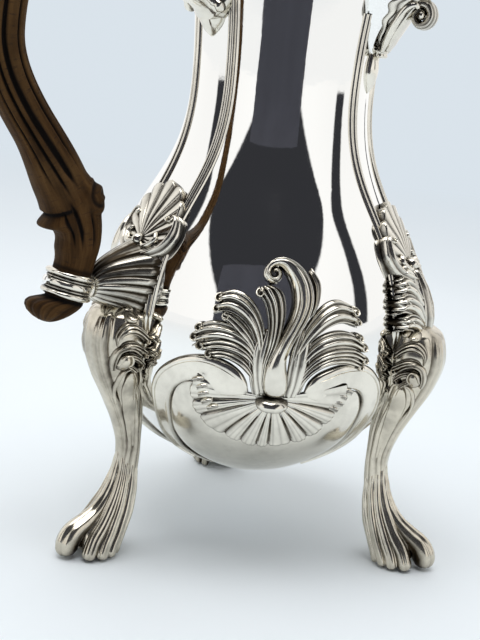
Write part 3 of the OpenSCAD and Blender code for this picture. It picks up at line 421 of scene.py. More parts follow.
class Relief:
    """Ornament in raised strips, drawn flat and then laid on a surface."""

    def __init__(self):
        self.flat, self.faces, self.own, self.count = [], [], [], 0

    def grid(self, x, y, high, hollow):
        rows, cols = x.shape
        j, i = np.meshgrid(np.arange(rows - 1), np.arange(cols - 1), indexing="ij")
        a = (j * cols + i + self.count).ravel()
        self.flat.append(np.stack([x.ravel(), y.ravel(), high.ravel()], -1))
        self.faces.append(np.stack([a, a + 1, a + cols + 1, a + cols], -1))
        self.own.append(hollow.ravel())
        self.count += rows * cols

    def between(self, left, right, height, flutes=0, bite=0.3, edge=2.6, dish=0.0, rim=0.0,
                scallop=0.0, roll=0.0, base=0.0, step=0.5):
        """A strip between two edge lines, given at matching points from its root to its tip."""
        size = max(np.hypot(*np.diff(np.array(side, float), axis=0).T).sum() for side in (left, right))
        widest = max(np.hypot(*(np.array(a) - np.array(b))) for a, b in zip(left, right))
        rows = max(10, int(size / step))
        cols = max(11, int(widest / 0.36), 8 * flutes + 1)
        a, b = smooth_line(left, rows, False), smooth_line(right, rows, False)
        t = np.linspace(0, 1, rows)[:, None]
        u = np.sin(np.linspace(-1, 1, cols) * np.pi / 2 * 0.94)[None] / np.sin(np.pi / 2 * 0.94)
        x, y = (a[:, k:k + 1] * (1 - u) / 2 + b[:, k:k + 1] * (1 + u) / 2 for k in (0, 1))
        body = np.sqrt(np.clip(1 - np.abs(u) ** edge, 0, 1)) * (1 - dish * (1 - u * u))
        body = body * np.sqrt(np.clip(1 - np.clip((t - 0.9) / 0.1, 0, 0.97) ** 2, 0, 1))
        valley = 0 * u
        if flutes:
            wander = 2 * np.pi * (u + 0.06 * np.sin(u * 5 + t * 3)) * flutes / 2
            valley = (0.5 + 0.5 * np.cos(wander + np.pi * (flutes % 2) + np.pi)) ** 2.6
            body = body * (1 - bite * valley)
        body = body + rim * np.exp(-((np.abs(u) - 0.84) / 0.09) ** 2)
        high = base + spread(height, t) * body
        if roll:
            high = high + roll * np.exp(-((t - 0.93) / 0.05) ** 2) * body
        if scallop:
            d = np.gradient((a + b) / 2, axis=0)
            d /= np.hypot(*d.T)[:, None] + 1e-9
            push = scallop * (1 - 2 * valley) * t ** 6
            x, y = x + d[:, :1] * push, y + d[:, 1:] * push
        high = high + 0 * t
        # Darker in the flutes' valleys, along both edges and at the tip: tarnish and painted shade
        hollow = (0.75 * valley * (bite > 0.05) + np.clip((np.abs(u) - 0.9) * 8, 0, 0.8)
                  + np.clip((t - 0.97) * 25, 0, 0.7))
        high[:, 0] = high[:, -1] = -0.5
        high[0], high[-1] = -0.5, np.minimum(high[-1], 0.2)
        self.grid(x, y, high, hollow + 0 * x)

    def strip(self, line, width, height, **more):
        """A strip of given width along a line."""
        size = np.hypot(*np.diff(np.array(line, float), axis=0).T).sum()
        count = max(8, int(size / 0.9))
        p = smooth_line(line, count)
        d = np.gradient(p, axis=0)
        d /= np.hypot(*d.T)[:, None] + 1e-9
        half = spread(width, np.linspace(0, 1, count))[:, None] / 2
        n = np.stack([-d[:, 1], d[:, 0]], -1) * half
        self.between((p + n).tolist(), (p - n).tolist(), height, **more)

    def curl(self, x, y, radius, height, start=0.0, turns=1.2, way=1):
        """A tight rolled tip: a spiral bead round a small boss."""
        t = np.linspace(0, 1, 15)
        a = math.radians(start) + way * turns * 2 * np.pi * t
        r = radius * (0.82 - 0.6 * t)
        self.strip(np.stack([x + r * np.cos(a), y + r * np.sin(a)], -1),
                   [radius * 0.55, radius * 0.5, radius * 0.42],
                   [height * 0.6, height, height], edge=2, step=0.3)
        self.boss(x, y, radius * 0.95, radius * 0.95, height * 0.6)

    def boss(self, x, y, wide, tall, height, base=0.0):
        ring, round_it = np.linspace(0.02, 1, 12)[:, None], np.radians(np.arange(0, 361, 12))[None]
        h = base + height * np.sqrt(np.clip(1 - ring ** 2, 0, 1)) - 0.5 * (ring > 0.99)
        # Darker round its foot: tarnish and painted shade
        self.grid(x + wide * ring * np.cos(round_it), y + tall * ring * np.sin(round_it),
                  h + 0 * round_it, np.clip(ring * 3 - 2.2, 0, 1) + 0 * round_it)

    def skin(self, name, place, shade=1.0):
        """Lays the strips on a surface. Places below their surroundings are marked as recesses, which gives
        them painted shade where strips stand over them.
        """
        flat, own = np.vstack(self.flat), np.concatenate(self.own)
        cell = 0.3
        lo = flat[:, :2].min(0) - 3
        i, j = ((flat[:, k] - lo[k]) / cell for k in (0, 1))
        top = np.zeros((int(j.max()) + 14, int(i.max()) + 14))
        np.maximum.at(top, (np.round(j).astype(int), np.round(i).astype(int)), flat[:, 2])
        # Painted shade: how far each point lies below the blurred heights around it
        around = soften(np.maximum(top, 0), 9)
        rise = around[np.round(j).astype(int), np.round(i).astype(int)]
        deep = np.clip(own * shade + np.clip((rise - flat[:, 2]) * 0.9, 0, 1), 0, 1)
        made = solid(name, place(flat[:, 0], flat[:, 1], flat[:, 2]), np.vstack(self.faces).tolist())
        mark_recess(made, deep)
        return made

art = Relief()
# The crescent, and the two C-scrolls that hold it: a broad band that widens into a cup
art.between([(-29, 4.4), (-35, 3.2), (-38.8, -3), (-41.2, -12), (-43.6, -22), (-41.5, -34), (-33, -44.5),
             (-18, -51.5), (0, -53.5), (18, -51),
             (31, -43), (38.6, -32), (40, -22), (38, -12), (36, -4), (32.6, 2.4), (28.4, 4.4), (25.4, 5)],
            [(-28.2, 3.4), (-27.4, 0.4), (-25.6, -3.4), (-23.2, -7), (-20, -10.4), (-16, -13), (-11, -15),
             (-5.6, -16), (0, -16.4), (6, -15.8),
             (11.4, -13.8), (15.6, -10.4), (18.8, -7), (21.2, -3.4), (23, -0.4), (24, 2.6),
             (24.2, 4), (24.4, 4.6)],
            [0.7, 1.1, 1.9, 2.4, 2.2, 2.0, 2.2, 2.4, 1.7, 0.6, 0.2], edge=3.2, base=-0.2, step=0.8)
left_outer = [(-40, -54), (-48, -46), (-53, -37), (-52.4, -27), (-50, -17.4), (-48, -8), (-46.6, -0.8),
              (-44, 4.8), (-39.9, 9), (-34.7, 12.2), (-29, 13.9),
              (-23.4, 14.2), (-18.1, 13), (-13.7, 10.4), (-11.2, 7), (-10.2, 3.3)]
left_inner = [(-39.2, -53.4), (-44.6, -43), (-46, -34), (-43.8, -25), (-41.2, -14.9), (-39.1, -5.6),
              (-36.8, -0.4), (-33.6, 2.9), (-30.3, 4.5), (-27.2, 5.3),
              (-24.4, 5.4), (-22.9, 3.6), (-21.4, 1.6), (-18.6, 1), (-14.6, 1.6), (-10.6, 2.4)]
right_outer = [(34, -54), (42, -46), (47.6, -37), (49, -27), (48.6, -17), (46.6, -6), (43.4, 2.9),
               (38.7, 9.3), (33, 13.2), (26.8, 14.1), (21.2, 13.8),
               (16.8, 12.6), (13, 10.8), (10.1, 7.8), (8.8, 3.8)]
right_inner = [(33.2, -53.4), (38.6, -43), (40.6, -34), (40.2, -25), (38, -14.8), (36.4, -7.1),
               (34.8, -1.2), (32.2, 2.5), (28.6, 4.7), (25, 5.2),
               (22, 3.8), (19.2, 1.8), (16, 1), (12.6, 1.6), (9.6, 2.8)]
for outer, inner in ((left_outer, left_inner), (right_outer, right_inner)):
    art.between(outer, inner, [0.6, 1.5, 2.2, 2.5, 2.5, 2.5, 2.4, 2.2, 1.6], edge=5, dish=0.28, step=0.6)
    art.strip([((3.1 * a[0] + b[0]) / 4.1, (3.1 * a[1] + b[1]) / 4.1)
               for a, b in zip(outer[1:-1], inner[1:-1])],
              [0.3, 0.55, 0.55, 0.4], [1.5, 2.5, 2.5, 2.2], edge=2)
# The fan: hollow and ribbed, rising to a scalloped edge that stands clear of the crescent
a = np.radians(np.linspace(-104, 104, 420))[None]
q = np.linspace(0.1, 1.03, 40)[:, None]
edge_r = np.interp(np.degrees(a), [-104, -90, -75, -55, -40, -20, 0, 20, 40, 60, 75, 90, 104],
                   [26.6, 27, 25.8, 23.6, 21.8, 20.2, 19.6, 19.9, 21, 22, 23.2, 24.8, 24.6])
wander = a + 0.05 * np.sin(a * 5 + 1) + 0.03 * np.sin(a * 9.3)
rib = 1 - (1 - np.abs(np.cos(wander * 9.5))) ** 1.7
small = np.abs(np.cos(wander * 28.5 + 0.4))
reach = np.clip(q, 0, 1) * edge_r * (1 + (0.045 * rib + 0.012 * small
                                          + 0.02 * np.cos(a * 6.1 + 1)) * q ** 6)
lip = np.clip((q - 1) / 0.03, 0, 1)
high = (0.2 + 3.1 * np.clip(q, 0, 1) ** 1.9
        - (1.05 * (1 - rib) + 0.24 * (1 - small)) * np.clip(q * 1.7, 0, 1)
        * np.clip((1.06 - q) * 8, 0.35, 1))
# Darker in the valleys between the ribs and at the lip: tarnish and painted shade
art.grid(-1.8 + reach * np.sin(a), 1.5 - reach * np.cos(a), high * (1 - lip) - 0.3 * lip,
         np.clip((1 - rib) ** 1.6 * 0.7 + (1 - small) ** 2 * 0.3, 0, 1) * np.clip(q * 2, 0, 1) + lip)
for m, points in ((1, [(-28.6, 5.6), (-27.2, 3.4), (-26.6, 1), (-25.4, -1.6), (-23.4, -3.6)]),
                  (-1, [(26.2, 4.6), (24.4, 2.8), (23.6, 0.6), (22.2, -1.6)])):
    for k, (x, y) in enumerate(points):
        art.strip([(x + m * 3.6, y + 0.9), (x + m * 1.6, y + 0.7), (x - m * 0.6, y - 0.4)], [1.5, 2.2, 2.0],
                  [2.8, 3.9, 3.4], flutes=1, bite=0.2, step=0.3)

def wing(strokes, flutes):
    """Ruffled leaves that overlap from the bottom up and roll over at their tips."""
    for k, (upper, lower, tips) in enumerate(strokes):
        low = 0.25 * k
        art.between(upper, lower, [0.5, 1.4 + low, 2.2 + low, 2.8 + low, 3.2 + low], flutes, 0.5, 2.1,
                    scallop=1.1, roll=0.7)
        for x, y, radius, height, start, turns, way in tips:
            art.curl(x, y, radius * 1.2, height + 0.5, start, turns, way)

# A fluted ground closes the gaps between the wings and the plume
art.between([(-9, 2.4), (-10.4, 8), (-11.6, 14), (-11.4, 19), (-8.6, 25)],
            [(-3, 1.4), (-4.4, 8), (-4.4, 14), (-4, 20), (-4.4, 26)], [0.6, 1.3, 1.5, 1.5, 1.2], 3, 0.4)
art.between([(1.6, 1.4), (2, 8), (2.2, 14), (3, 20), (5.6, 27)],
            [(7.2, 2.4), (8.6, 7), (9.8, 13), (9.8, 18), (9.4, 25)], [0.6, 1.3, 1.5, 1.5, 1.2], 3, 0.4)
wing([([(-8.4, 8), (-10.4, 13), (-14.6, 16.6), (-20.2, 17.6), (-25.2, 16.4)],
       [(-7.9, 1), (-9.4, 7), (-12.8, 11), (-17.4, 13.6), (-22, 14.3)],
       [(-24.2, 15.2, 1.5, 3.2, 70, 1.2, 1)]),
      ([(-8.2, 12.8), (-11, 17.4), (-15.8, 20.6), (-21.2, 21.2), (-27, 19.4)],
       [(-7.8, 7), (-10, 12.4), (-14.2, 15.4), (-20, 16.6), (-26.6, 15.6)],
       [(-27.2, 17.6, 1.9, 3.6, 70, 1.2, 1)]),
      ([(-8.2, 16), (-11.2, 21.2), (-15.6, 24.9), (-20.9, 26.5), (-26, 25.9), (-29.9, 23.4)],
       [(-8, 11.4), (-11.4, 16.2), (-16.4, 18.8), (-22.2, 19.2), (-26.2, 18.2), (-30.3, 16.6)],
       [(-29.6, 20, 1.6, 3.6, 80, 1.2, 1), (-28.4, 23.4, 1.5, 3.8, 60, 1.2, 1)]),
      ([(-8.4, 17.6), (-10.6, 23), (-14.1, 27.2), (-18.2, 29.6), (-20.6, 30)],
       [(-8.6, 14.4), (-11.6, 18.6), (-15.4, 22.4), (-18.6, 25.6), (-20.8, 26.8)],
       [(-20, 28.2, 1.4, 3.6, 100, 1.2, 1)]),
      ([(-5.9, 18.6), (-7, 25.6), (-9.5, 31.6), (-13.3, 35.7), (-18.2, 37.4), (-22.8, 36)],
       [(-8, 14), (-9.4, 19.6), (-11.8, 24.6), (-15.5, 28), (-19.8, 29.6), (-24, 28.6)],
       [(-22.8, 34, 1.7, 4.1, 90, 1.2, 1), (-23.2, 30.4, 1.4, 3.9, 90, 1.2, 1)])], 3)
wing([([(5.2, 6), (8.2, 12), (13.2, 16), (19, 18), (25, 17.6), (29.2, 15)],
       [(6.4, 1), (8.3, 7), (12, 11.4), (17.1, 13.8), (22.8, 14), (28, 12.8)],
       [(28.2, 13.4, 1.4, 3.2, 110, 1.2, -1)]),
      ([(4.8, 8), (8.4, 14.6), (13.6, 18.8), (20, 20.6), (26.2, 20), (30, 17.4)],
       [(5.6, 4), (8.8, 10.8), (13.2, 14.8), (19, 16.4), (25, 16.2), (29.8, 14.2)],
       [(29.6, 15.6, 1.6, 3.6, 100, 1.2, -1)]),
      ([(4, 11.5), (7.5, 19.2), (12.4, 24), (18.6, 26), (24.2, 25.2), (28.7, 22)],
       [(4.9, 7.6), (8.6, 14), (13.5, 18.3), (19.3, 19.9), (24.9, 19.6), (29.5, 17.4)],
       [(28.6, 20, 1.7, 3.8, 95, 1.2, -1), (26.6, 23.4, 1.4, 3.9, 95, 1.2, -1)]),
      ([(2.6, 13), (4.8, 21.8), (8.2, 29), (12.9, 34.4), (18.2, 36.5), (23.8, 34.6)],
       [(3.6, 12), (6.9, 18.2), (10.8, 23.3), (15.5, 26.8), (20.6, 28.2), (26.4, 26.8)],
       [(24.2, 32.2, 1.7, 4.1, 90, 1.2, -1), (25.4, 28.8, 1.4, 3.9, 90, 1.2, -1)])], 3)
# The plume: a leaf at each side of an S-shaped flame that springs from a bulb
art.between([(8, 29.8), (9.4, 34.8), (9.2, 40.4), (7.2, 45.4)],
            [(9.6, 30.4), (11.4, 36), (11.6, 41.6), (8.6, 47)], [1.4, 2.6, 2.8, 1.6], 1, 0.2)
art.between([(-6.7, 2.6), (-7, 9), (-6.9, 14.4), (-6.2, 20.4), (-6.2, 27.4), (-8, 33.7),
             (-10.7, 37.2), (-10.4, 39)],
            [(-4.9, 2.7), (-4.6, 9), (-4, 14.6), (-1.6, 21.2), (-0.4, 28.1), (-0.4, 33.9),
             (-2.1, 38.4), (-6.4, 40.2)],
            [0.8, 2.0, 2.8, 3.4, 3.7, 3.9, 3.5], 4, 0.5, 2.2, scallop=0.4)
art.curl(-9.6, 37.2, 1.9, 4.4, 100, 1.25, 1)
flame_left = [(-1.1, 2.4), (-4.7, 3.6), (-6, 7.3), (-6, 11.9), (-4.7, 16.6), (-2.6, 21.3), (-0.6, 26),
              (1, 30.5), (1.7, 35), (1, 39.4), (-0.4, 42.4), (-2.1, 44.9), (-3.6, 46.0), (-5.0, 45.9),
              (-6.1, 45.1), (-6.3, 43.9), (-5.5, 42.9), (-4.4, 42.4)]
flame_right = [(-0.8, 2.4), (2.1, 4.1), (2.6, 8.5), (1.5, 13.6), (1.6, 17.6), (3.2, 21.7), (5.6, 26.3),
               (7.9, 30.9), (9, 35.9), (8.2, 40.9), (5.7, 45.4), (2.1, 48.3), (-2.3, 49.5), (-6.5, 48.5),
               (-9.1, 45.7), (-9.1, 42.6), (-6.6, 40.4), (-3.9, 40.6)]
art.between(flame_left, flame_right, [1.6, 4.2, 4.4, 4.2, 4.2, 4.4, 4.6, 4.7, 4.6, 4.3, 4.0, 3.7],
            edge=2.3, step=0.4)
left, right = np.array([(-4.7, 14.6)] + flame_left[5:15]), np.array([(1.6, 15.6)] + flame_right[5:15])
for shift in (0.3, 0.56, 0.8):
    art.strip(left + (right - left) * shift, [0.3, 1.2, 1.9, 2.0, 1.5, 1.0, 0.6],
              [3.9, 4.55, 4.95, 5.1, 5.0, 4.5, 3.9], edge=2)
art.curl(-5.4, 43.8, 3.3, 4.9, 60, 1.3, 1)
# The bead under the bulb
art.boss(-1.8, -0.1, 5.8, 2.5, 4.4, 0.9)

for name, angle in (("front", 240), ("right", 0), ("back", 120)):
    shell = art.skin(f"shell_{name}",
                     lambda x, y, h, angle=angle: on_body(angle + np.degrees(x / belly_r), y, h))
    stands_for(shell, [f"cartouche_{name}"], cast_silver)


# ---------------------------------------------------------------- the legs
# Three cast cabriole legs: a smooth scrolled knee with a ruffled shell on either side, a
# shank with a sunk panel, and a splayed foot of separate rounded toes.

def squared(wave, power):
    """A sine or cosine pushed towards a square wave."""
    return np.sign(wave) * np.abs(wave) ** power

def tube(name, rings, hollow=None, folded=False):
    """A closed skin through equal rings of points, with its recesses marked.

    A folded ring goes out along one face of a bent sheet and back along the other.
    """
    rings = np.array(rings, float)
    rows, cols = rings.shape[:2]
    points = np.concatenate([rings.reshape(-1, 3), np.stack([rings[0].mean(0), rings[-1].mean(0)])])
    j, i = np.meshgrid(np.arange(rows - 1), np.arange(cols), indexing="ij")
    k = (i + 1) % cols
    faces = np.stack([j * cols + i, j * cols + k, (j + 1) * cols + k, (j + 1) * cols + i], -1)
    faces = faces.reshape(-1, 4).tolist()
    n = rows * cols
    if folded:
        faces += [[e + q, e + q + 1, e + cols - 2 - q, e + cols - 1 - q] for e in (0, n - cols)
                  for q in range(cols // 2 - 1)]
    else:
        faces += [[(q + 1) % cols, q, n] for q in range(cols)]
        faces += [[n - cols + q, n - cols + (q + 1) % cols, n + 1] for q in range(cols)]
    made = solid(name, points[:n] if folded else points, faces)
    face_outward(made)
    deep = np.zeros(len(made.data.vertices), np.float32)
    if hollow is not None:
        deep[:n] = np.clip(hollow, 0, 1).ravel()
    mark_recess(made, deep)
    return made

def limb(name, line, radii, out, sides=18, rows=46, engraved=0.0):
    """A tapered rod with rounded ends and two lines cut along it, with painted shade on the side away from
    out.
    """
    p = smooth_line(line, rows)
    r = spread(radii, np.linspace(0, 1, rows))
    left = np.linalg.norm(p - p[-1], axis=1)
    q = np.clip(1 - left / r[-1], 0, 1)
    r = r * np.sqrt(np.clip(1 - q * q, 0.0004, 1))
    d = np.gradient(p, axis=0)
    d /= np.linalg.norm(d, axis=1)[:, None]
    e = np.array(out, float) - (d @ np.array(out, float))[:, None] * d
    e /= np.linalg.norm(e, axis=1)[:, None]
    g = np.cross(d, e)
    a = np.radians(np.arange(0, 360, 360 / sides))
    lines = engraved * np.exp(-((np.abs(np.degrees((a + np.pi) % (2 * np.pi) - np.pi)) - 32) / 11) ** 2)
    r = r[:, None, None] * (1 - 0.16 * lines)[None, :, None]
    rings = p[:, None] + r * (np.cos(a)[None, :, None] * e[:, None] + np.sin(a)[None, :, None] * g[:, None])
    # Painted shade on the side away from out; the cut lines are darkened with tarnish and painted shade
    return tube(name, rings, np.clip(0.55 - 1.3 * np.cos(a) + 0.7 * lines, 0, 1)[None] * np.ones((rows, 1)))

def joined(pieces, name):
    bpy.ops.object.select_all(action="DESELECT")
    for piece in pieces:
        piece.select_set(True)
    bpy.context.view_layer.objects.active = pieces[0]
    bpy.ops.object.join()
    pieces[0].name = name
    return pieces[0]

def placed(thing, names, angles, nodes, look):
    """The same casting on other bands, each turned to its place."""
    made = [thing]
    thing.name = names[0]
    for name in names[1:]:
        other = thing.copy()
        other.data = thing.data.copy()
        other.name = name
        bpy.context.collection.objects.link(other)
        made.append(other)
    for piece, angle, node in zip(made, angles, nodes):
        piece.data.transform(Matrix.Rotation(math.radians(angle), 4, "Z"))
        stands_for(piece, node, look)

leg_silver = silver("leg_silver", (0.70, 0.645, 0.535), (0.04, 0.029, 0.018), 0.19, 0.00018, 0.3)
# The leg's front and back as [distance from the axis, height], and its half width, knee to toe
front = smooth_line([(61.5, 93.8), (67.5, 92.6), (71.8, 89.6), (73.8, 83), (73.4, 76.5), (70.4, 67.5),
                     (65.8, 58.6), (61.4, 49.5), (58.7, 41),
                     (58.4, 33.5), (59.2, 27), (61.4, 21.4), (64.8, 16.8), (68.8, 13), (72, 9.6), (73, 6.2),
                     (72.6, 3.2), (71, 1.6)], 320, False)
rear = smooth_line([(60, 93.2), (56, 92.5), (53.6, 89), (52.8, 82.5), (52.6, 76), (51.8, 69), (50.8, 61.5),
                    (50.2, 53), (50, 43.5), (50.2, 32.5),
                    (51.8, 23.5), (54.4, 15.5), (57.0, 9.4), (60, 4.6), (63.4, 2.2), (66.4, 1.4),
                    (68.6, 1.2), (70, 1.3)], 320, False)
half = spread([2.5, 8, 11.2, 12.1, 11.6, 9.4, 6.9, 5.2, 4.5, 4.5, 5.2, 6.2, 6.8, 7.2, 7.0, 6, 4.6, 2.4],
              np.linspace(0, 1, 320))
theta = np.arange(-180, 180, 2.5)
middle, deep_half = (front + rear) / 2, (front - rear) / 2
T, Z = np.meshgrid(theta, middle[:, 1])
c, s = squared(np.cos(np.radians(T)), 0.86), squared(np.sin(np.radians(T)), 0.86)
size, hollow = np.ones_like(T), np.zeros_like(T)
# Grooves: heights, degrees round from the front, width, depth
full_run, low_run = [20, 30, 40, 50, 61, 70, 78, 86, 92], [20, 30, 40, 50, 62, 66, 92]
side_depth = [0.4, 0.6, 0.8, 0.8, 0.7, 0, 0]
thin_depth = [0, 0.3, 0.5, 0.5, 0.5, 0.5, 0.5, 0.4, 0]
for heights, at, wide, deep in (
        (full_run, [24, 34, 52, 54, 46, 40, 38, 37, 34], 7, [0, 0.5, 0.8, 0.8, 0.9, 1.0, 1.1, 1.0, 0.3]),
        (full_run, [12, 17, 28, 30, 24, 20, 17, 17, 16], 4, thin_depth),
        (full_run, [15, 21, 36, 38, 32, 27, 24, 24, 22], 3, thin_depth),
        (low_run, [62, 70, 84, 86, 80, 78, 78], 7, side_depth),
        (low_run, [104, 108, 116, 118, 112, 110, 110], 7, side_depth)):
    spot = np.interp(Z, heights, at)
    deep = np.interp(Z, heights, deep)
    cut = deep * np.exp(-((np.abs(T) - spot) / wide) ** 2)
    size -= 0.115 * cut - 0.035 * deep * np.exp(-((np.abs(T) - spot + 2.2 * wide) / wide) ** 2)
    # The grooves are darkened: tarnish and painted shade
    hollow += 0.55 * cut ** 1.5
rings = np.stack([middle[:, :1] + deep_half[:, :1] * c * size, half[:, None] * s * size,
                  middle[:, 1:] + deep_half[:, 1:] * c * size], -1)
rings[..., 2] = np.maximum(rings[..., 2], 0.3)
parts = [tube("leg", rings, hollow)]
toes = [([(56.8, 0, 42), (58, 0, 32), (60, 0, 24), (64, 0, 17), (69.4, 0, 12.4), (74.2, 0, 9.4),
          (76.8, 0, 5.4), (76.8, 0, 0.4)], [0.5, 1.3, 2.0, 2.6, 3.3, 3.9, 4.3, 4.3], (0.5, 0, 0.87))]
for m in (-1, 1):
    toes += [([(56.6, 1.6 * m, 41), (57.8, 2.6 * m, 30), (60.6, 3.8 * m, 21), (65.2, 5.2 * m, 12.6),
               (69.6, 6.4 * m, 7), (72.4, 7.2 * m, 0.3)],
              [0.4, 1.2, 1.8, 2.4, 2.7, 2.7], (0.5, 0.45 * m, 0.75)),
             ([(55.6, 2.6 * m, 40), (56.6, 3.7 * m, 29), (58.8, 5.0 * m, 19.6), (62.8, 6.8 * m, 11),
               (66, 8.0 * m, 5.4), (67.8, 8.6 * m, 0.3)],
              [0.4, 1.2, 1.7, 2.2, 2.4, 2.4], (0.25, 0.8 * m, 0.55)),
             ([(54, 3.0 * m, 39), (54.6, 4.2 * m, 28), (56.6, 5.4 * m, 18.4), (60.0, 6.8 * m, 9.6),
               (62.6, 7.6 * m, 4.4), (64, 8.0 * m, 0.3)],
              [0.4, 1.1, 1.6, 2.0, 2.1, 2.1], (0, 0.95 * m, 0.3)),
             ([(52.2, 2.6 * m, 37), (52.6, 3.6 * m, 26), (54.2, 4.4 * m, 17), (57.4, 5.2 * m, 8.8),
               (59.4, 5.6 * m, 4), (60.4, 5.6 * m, 0.3)],
              [0.4, 1.1, 1.5, 1.8, 1.8, 1.8], (-0.5, 0.85 * m, 0.15))]
for k, (line, radii, out) in enumerate(toes):
    parts.append(limb(f"toe{k}", line, radii, out, 36, 46, 1.0))

order = np.argsort(front[:, 1])
def flank(r, z):
    """How far the side of the leg is from its middle plane."""
    f = np.interp(z, front[order, 1], front[order, 0])
    b = np.interp(z, rear[::-1, 1], rear[::-1, 0])
    w = np.interp(z, middle[::-1, 1], half[::-1])
    q = np.clip(np.abs((r - (f + b) / 2) / ((f - b) / 2)), 0, 0.99)
    return w * (1 - q ** 2.33) ** 0.43

for m in (-1, 1):
    ear = Relief()
    fans = [([(69.2, 80.4), (69.8, 84), (68.2, 87.4), (65, 89), (61.4, 87.6), (58.4, 84.6)],
             [(68.8, 80), (68.6, 82.6), (66.8, 84.4), (64.2, 84.8), (61.6, 83.6), (58.8, 81)]),
            ([(68.8, 79.6), (67.4, 81.8), (65, 82.6), (62.2, 82), (58.2, 79.4)],
             [(68.2, 78.6), (66.6, 79.2), (64.4, 79.2), (61.6, 78.2), (58.2, 76)]),
            ([(68.4, 78.4), (66.6, 78.8), (64.4, 78.6), (61.4, 77.4), (58.6, 74.8)],
             [(68.2, 76.8), (66.4, 76.2), (64.2, 75.6), (61.8, 74.6), (59.6, 72.4)]),
            ([(68.4, 76.4), (66.8, 75.4), (64.8, 74.6), (62.6, 73.6), (60.6, 71.6)],
             [(68, 74.8), (66.8, 73.4), (65.2, 72.6), (63.8, 71.8), (62.4, 71)])]
    for k, (upper, lower) in enumerate(reversed(fans)):
        ear.between(upper, lower, [1.1, 1.8 + 0.1 * k, 2.5 + 0.15 * k, 3.1 + 0.15 * k, 3.5 + 0.15 * k], 3,
                    0.45, 2.2, scallop=0.9, roll=0.6, step=0.35)
    for x, y, size in ((59.2, 82.6, 1.5), (59.2, 77.4, 1.5), (60.2, 73.4, 1.3)):
        ear.curl(x, y, size, 4.4, 90, 1.2, 1)
    ear.strip([(68.4, 71), (69.4, 74.6), (68.8, 78.6), (66, 80.4), (62.6, 79.4), (59.6, 76.8)],
              [1.2, 1.8, 2.0, 2.2, 2.2, 1.8], [1.2, 2.2, 2.8, 3.4, 3.8, 4.0], flutes=1, bite=0.3, step=0.35)
    ear.boss(66.2, 75.2, 2.9, 3.9, 3.2)
    ear.strip([(68.4, 73.4), (67.6, 77), (65.2, 77.6), (64.4, 75), (65.6, 73.2)], [0.8, 1.2, 1.2, 1.0],
              [2.6, 3.8, 4.0, 3.6], edge=2, step=0.3)
    ear.boss(64.6, 90.2, 2.2, 1.8, 3.4)
    ear.boss(61.2, 91, 1.8, 1.6, 3.2)
    # The tongue: a smooth raised panel with a bead round its top
    ear.between([(56.2, 40), (59.2, 50), (62.2, 58), (64.0, 64), (63.8, 68.6), (62.2, 70.8)],
                [(54.4, 40), (55.2, 50), (56.6, 58), (58, 64), (59.4, 68.6), (61.4, 70.8)],
                [0.0, 0.25, 0.8, 1.3, 1.5, 1.4], edge=3, rim=0.4, step=0.4)
    ear.strip([(63.4, 57), (65.4, 62), (66.2, 67), (65, 70.8), (62, 72.2), (58.8, 70.6), (57, 64)],
              [0.6, 0.9, 1.3, 1.5, 1.5, 1.4, 0.9], [0.3, 0.9, 1.5, 1.9, 2.1, 2.0, 0.9], edge=2, step=0.35)
    ear.curl(56.6, 68.6, 1.5, 2.0, 90, 1.1, 1)
    parts.append(ear.skin("ear", lambda x, y, h, m=m: np.stack([x, m * (flank(x, y) + h - 0.2), y], -1)))
leg = joined(parts, "leg_casting_handle")
face_outward(leg)
placed(leg, ["leg_casting_handle", "leg_casting_spout", "leg_casting_rear"],
       [handle_at, spout_at, rear_at],
       [("leg_handle", "knee_shell_handle"), ("leg_spout", "knee_shell_spout"),
        ("leg_rear", "knee_shell_rear")], leg_silver)


# ---------------------------------------------------------------- the leaves above the knees
# Cast shell and acanthus work climbs each band above a knee: ruffled leaves round a midrib
# below, then an upright ribbed shell that rises from two C-scrolls.

def on_band(bulk_at, bulk):
    """Lays ornament on a band: sideways in millimetres, along the outline, height over a swelling core."""
    def place(x, y, h):
        z = np.interp(y + run_at_bead, run, outline[:, 1])
        core = np.interp(z, bulk_at, bulk) * np.clip(1 - (x / 14.5) ** 2, 0, 1) ** 0.8
        return on_body(np.degrees(np.arcsin(np.clip(x / body_r(z), -1, 1))), y, h + core * (h > -0.4))
    return place

def upright_shell(relief, foot_z):
    tip = run_at(foot_z)
    a = np.radians(np.linspace(-100, 100, 190))[None]
    q = np.linspace(0.05, 1.03, 40)[:, None]
    rib = np.abs(np.cos(a * 9 + 0.3 * np.sin(a * 3))) ** 0.7
    edge_r = np.interp(np.degrees(np.abs(a)), [0, 20, 45, 70, 90, 100],
                       [21.5, 20, 15.6, 12.6, 11, 10.4]) * (1 + 0.07 * rib)
    lip = np.clip((q - 1) / 0.03, 0, 1)
    high = 1.2 + 1.7 * np.clip(q, 0, 1) ** 1.4 - 1.0 * (1 - rib) * np.clip(q * 1.8, 0, 1)
    # Darker between the ribs and at the lip: tarnish and painted shade
    relief.grid(np.clip(q, 0, 1) * edge_r * np.sin(a) * 0.98, tip + np.clip(q, 0, 1) * edge_r * np.cos(a),
                high * (1 - lip) - 0.3 * lip, (1 - rib) * 0.9 + lip)
    for m in (-1, 1):
        relief.strip([(m * 0.6, tip - 6), (m * 5, tip - 5), (m * 10.4, tip - 1.6), (m * 12.6, tip + 4),
                      (m * 11.4, tip + 9.4), (m * 8.4, tip + 10.4)],
                     [2.6, 3.6, 4.0, 3.6, 2.8, 1.6], [2.4, 3.0, 3.4, 3.6, 3.4, 2.8], flutes=2, bite=0.3)
        relief.curl(m * 8.8, tip + 8.8, 1.9, 3.0, 90, 1.2, -m)
        relief.strip([(m * 1.4, tip - 1), (m * 5, tip - 2.2), (m * 7.8, tip + 0.8), (m * 6.4, tip + 3.6)],
                     [1.2, 2.2, 2.0, 1.2], [2.2, 3.4, 3.4, 2.8])
    relief.boss(0, tip - 0.6, 2.2, 2.6, 4.0)

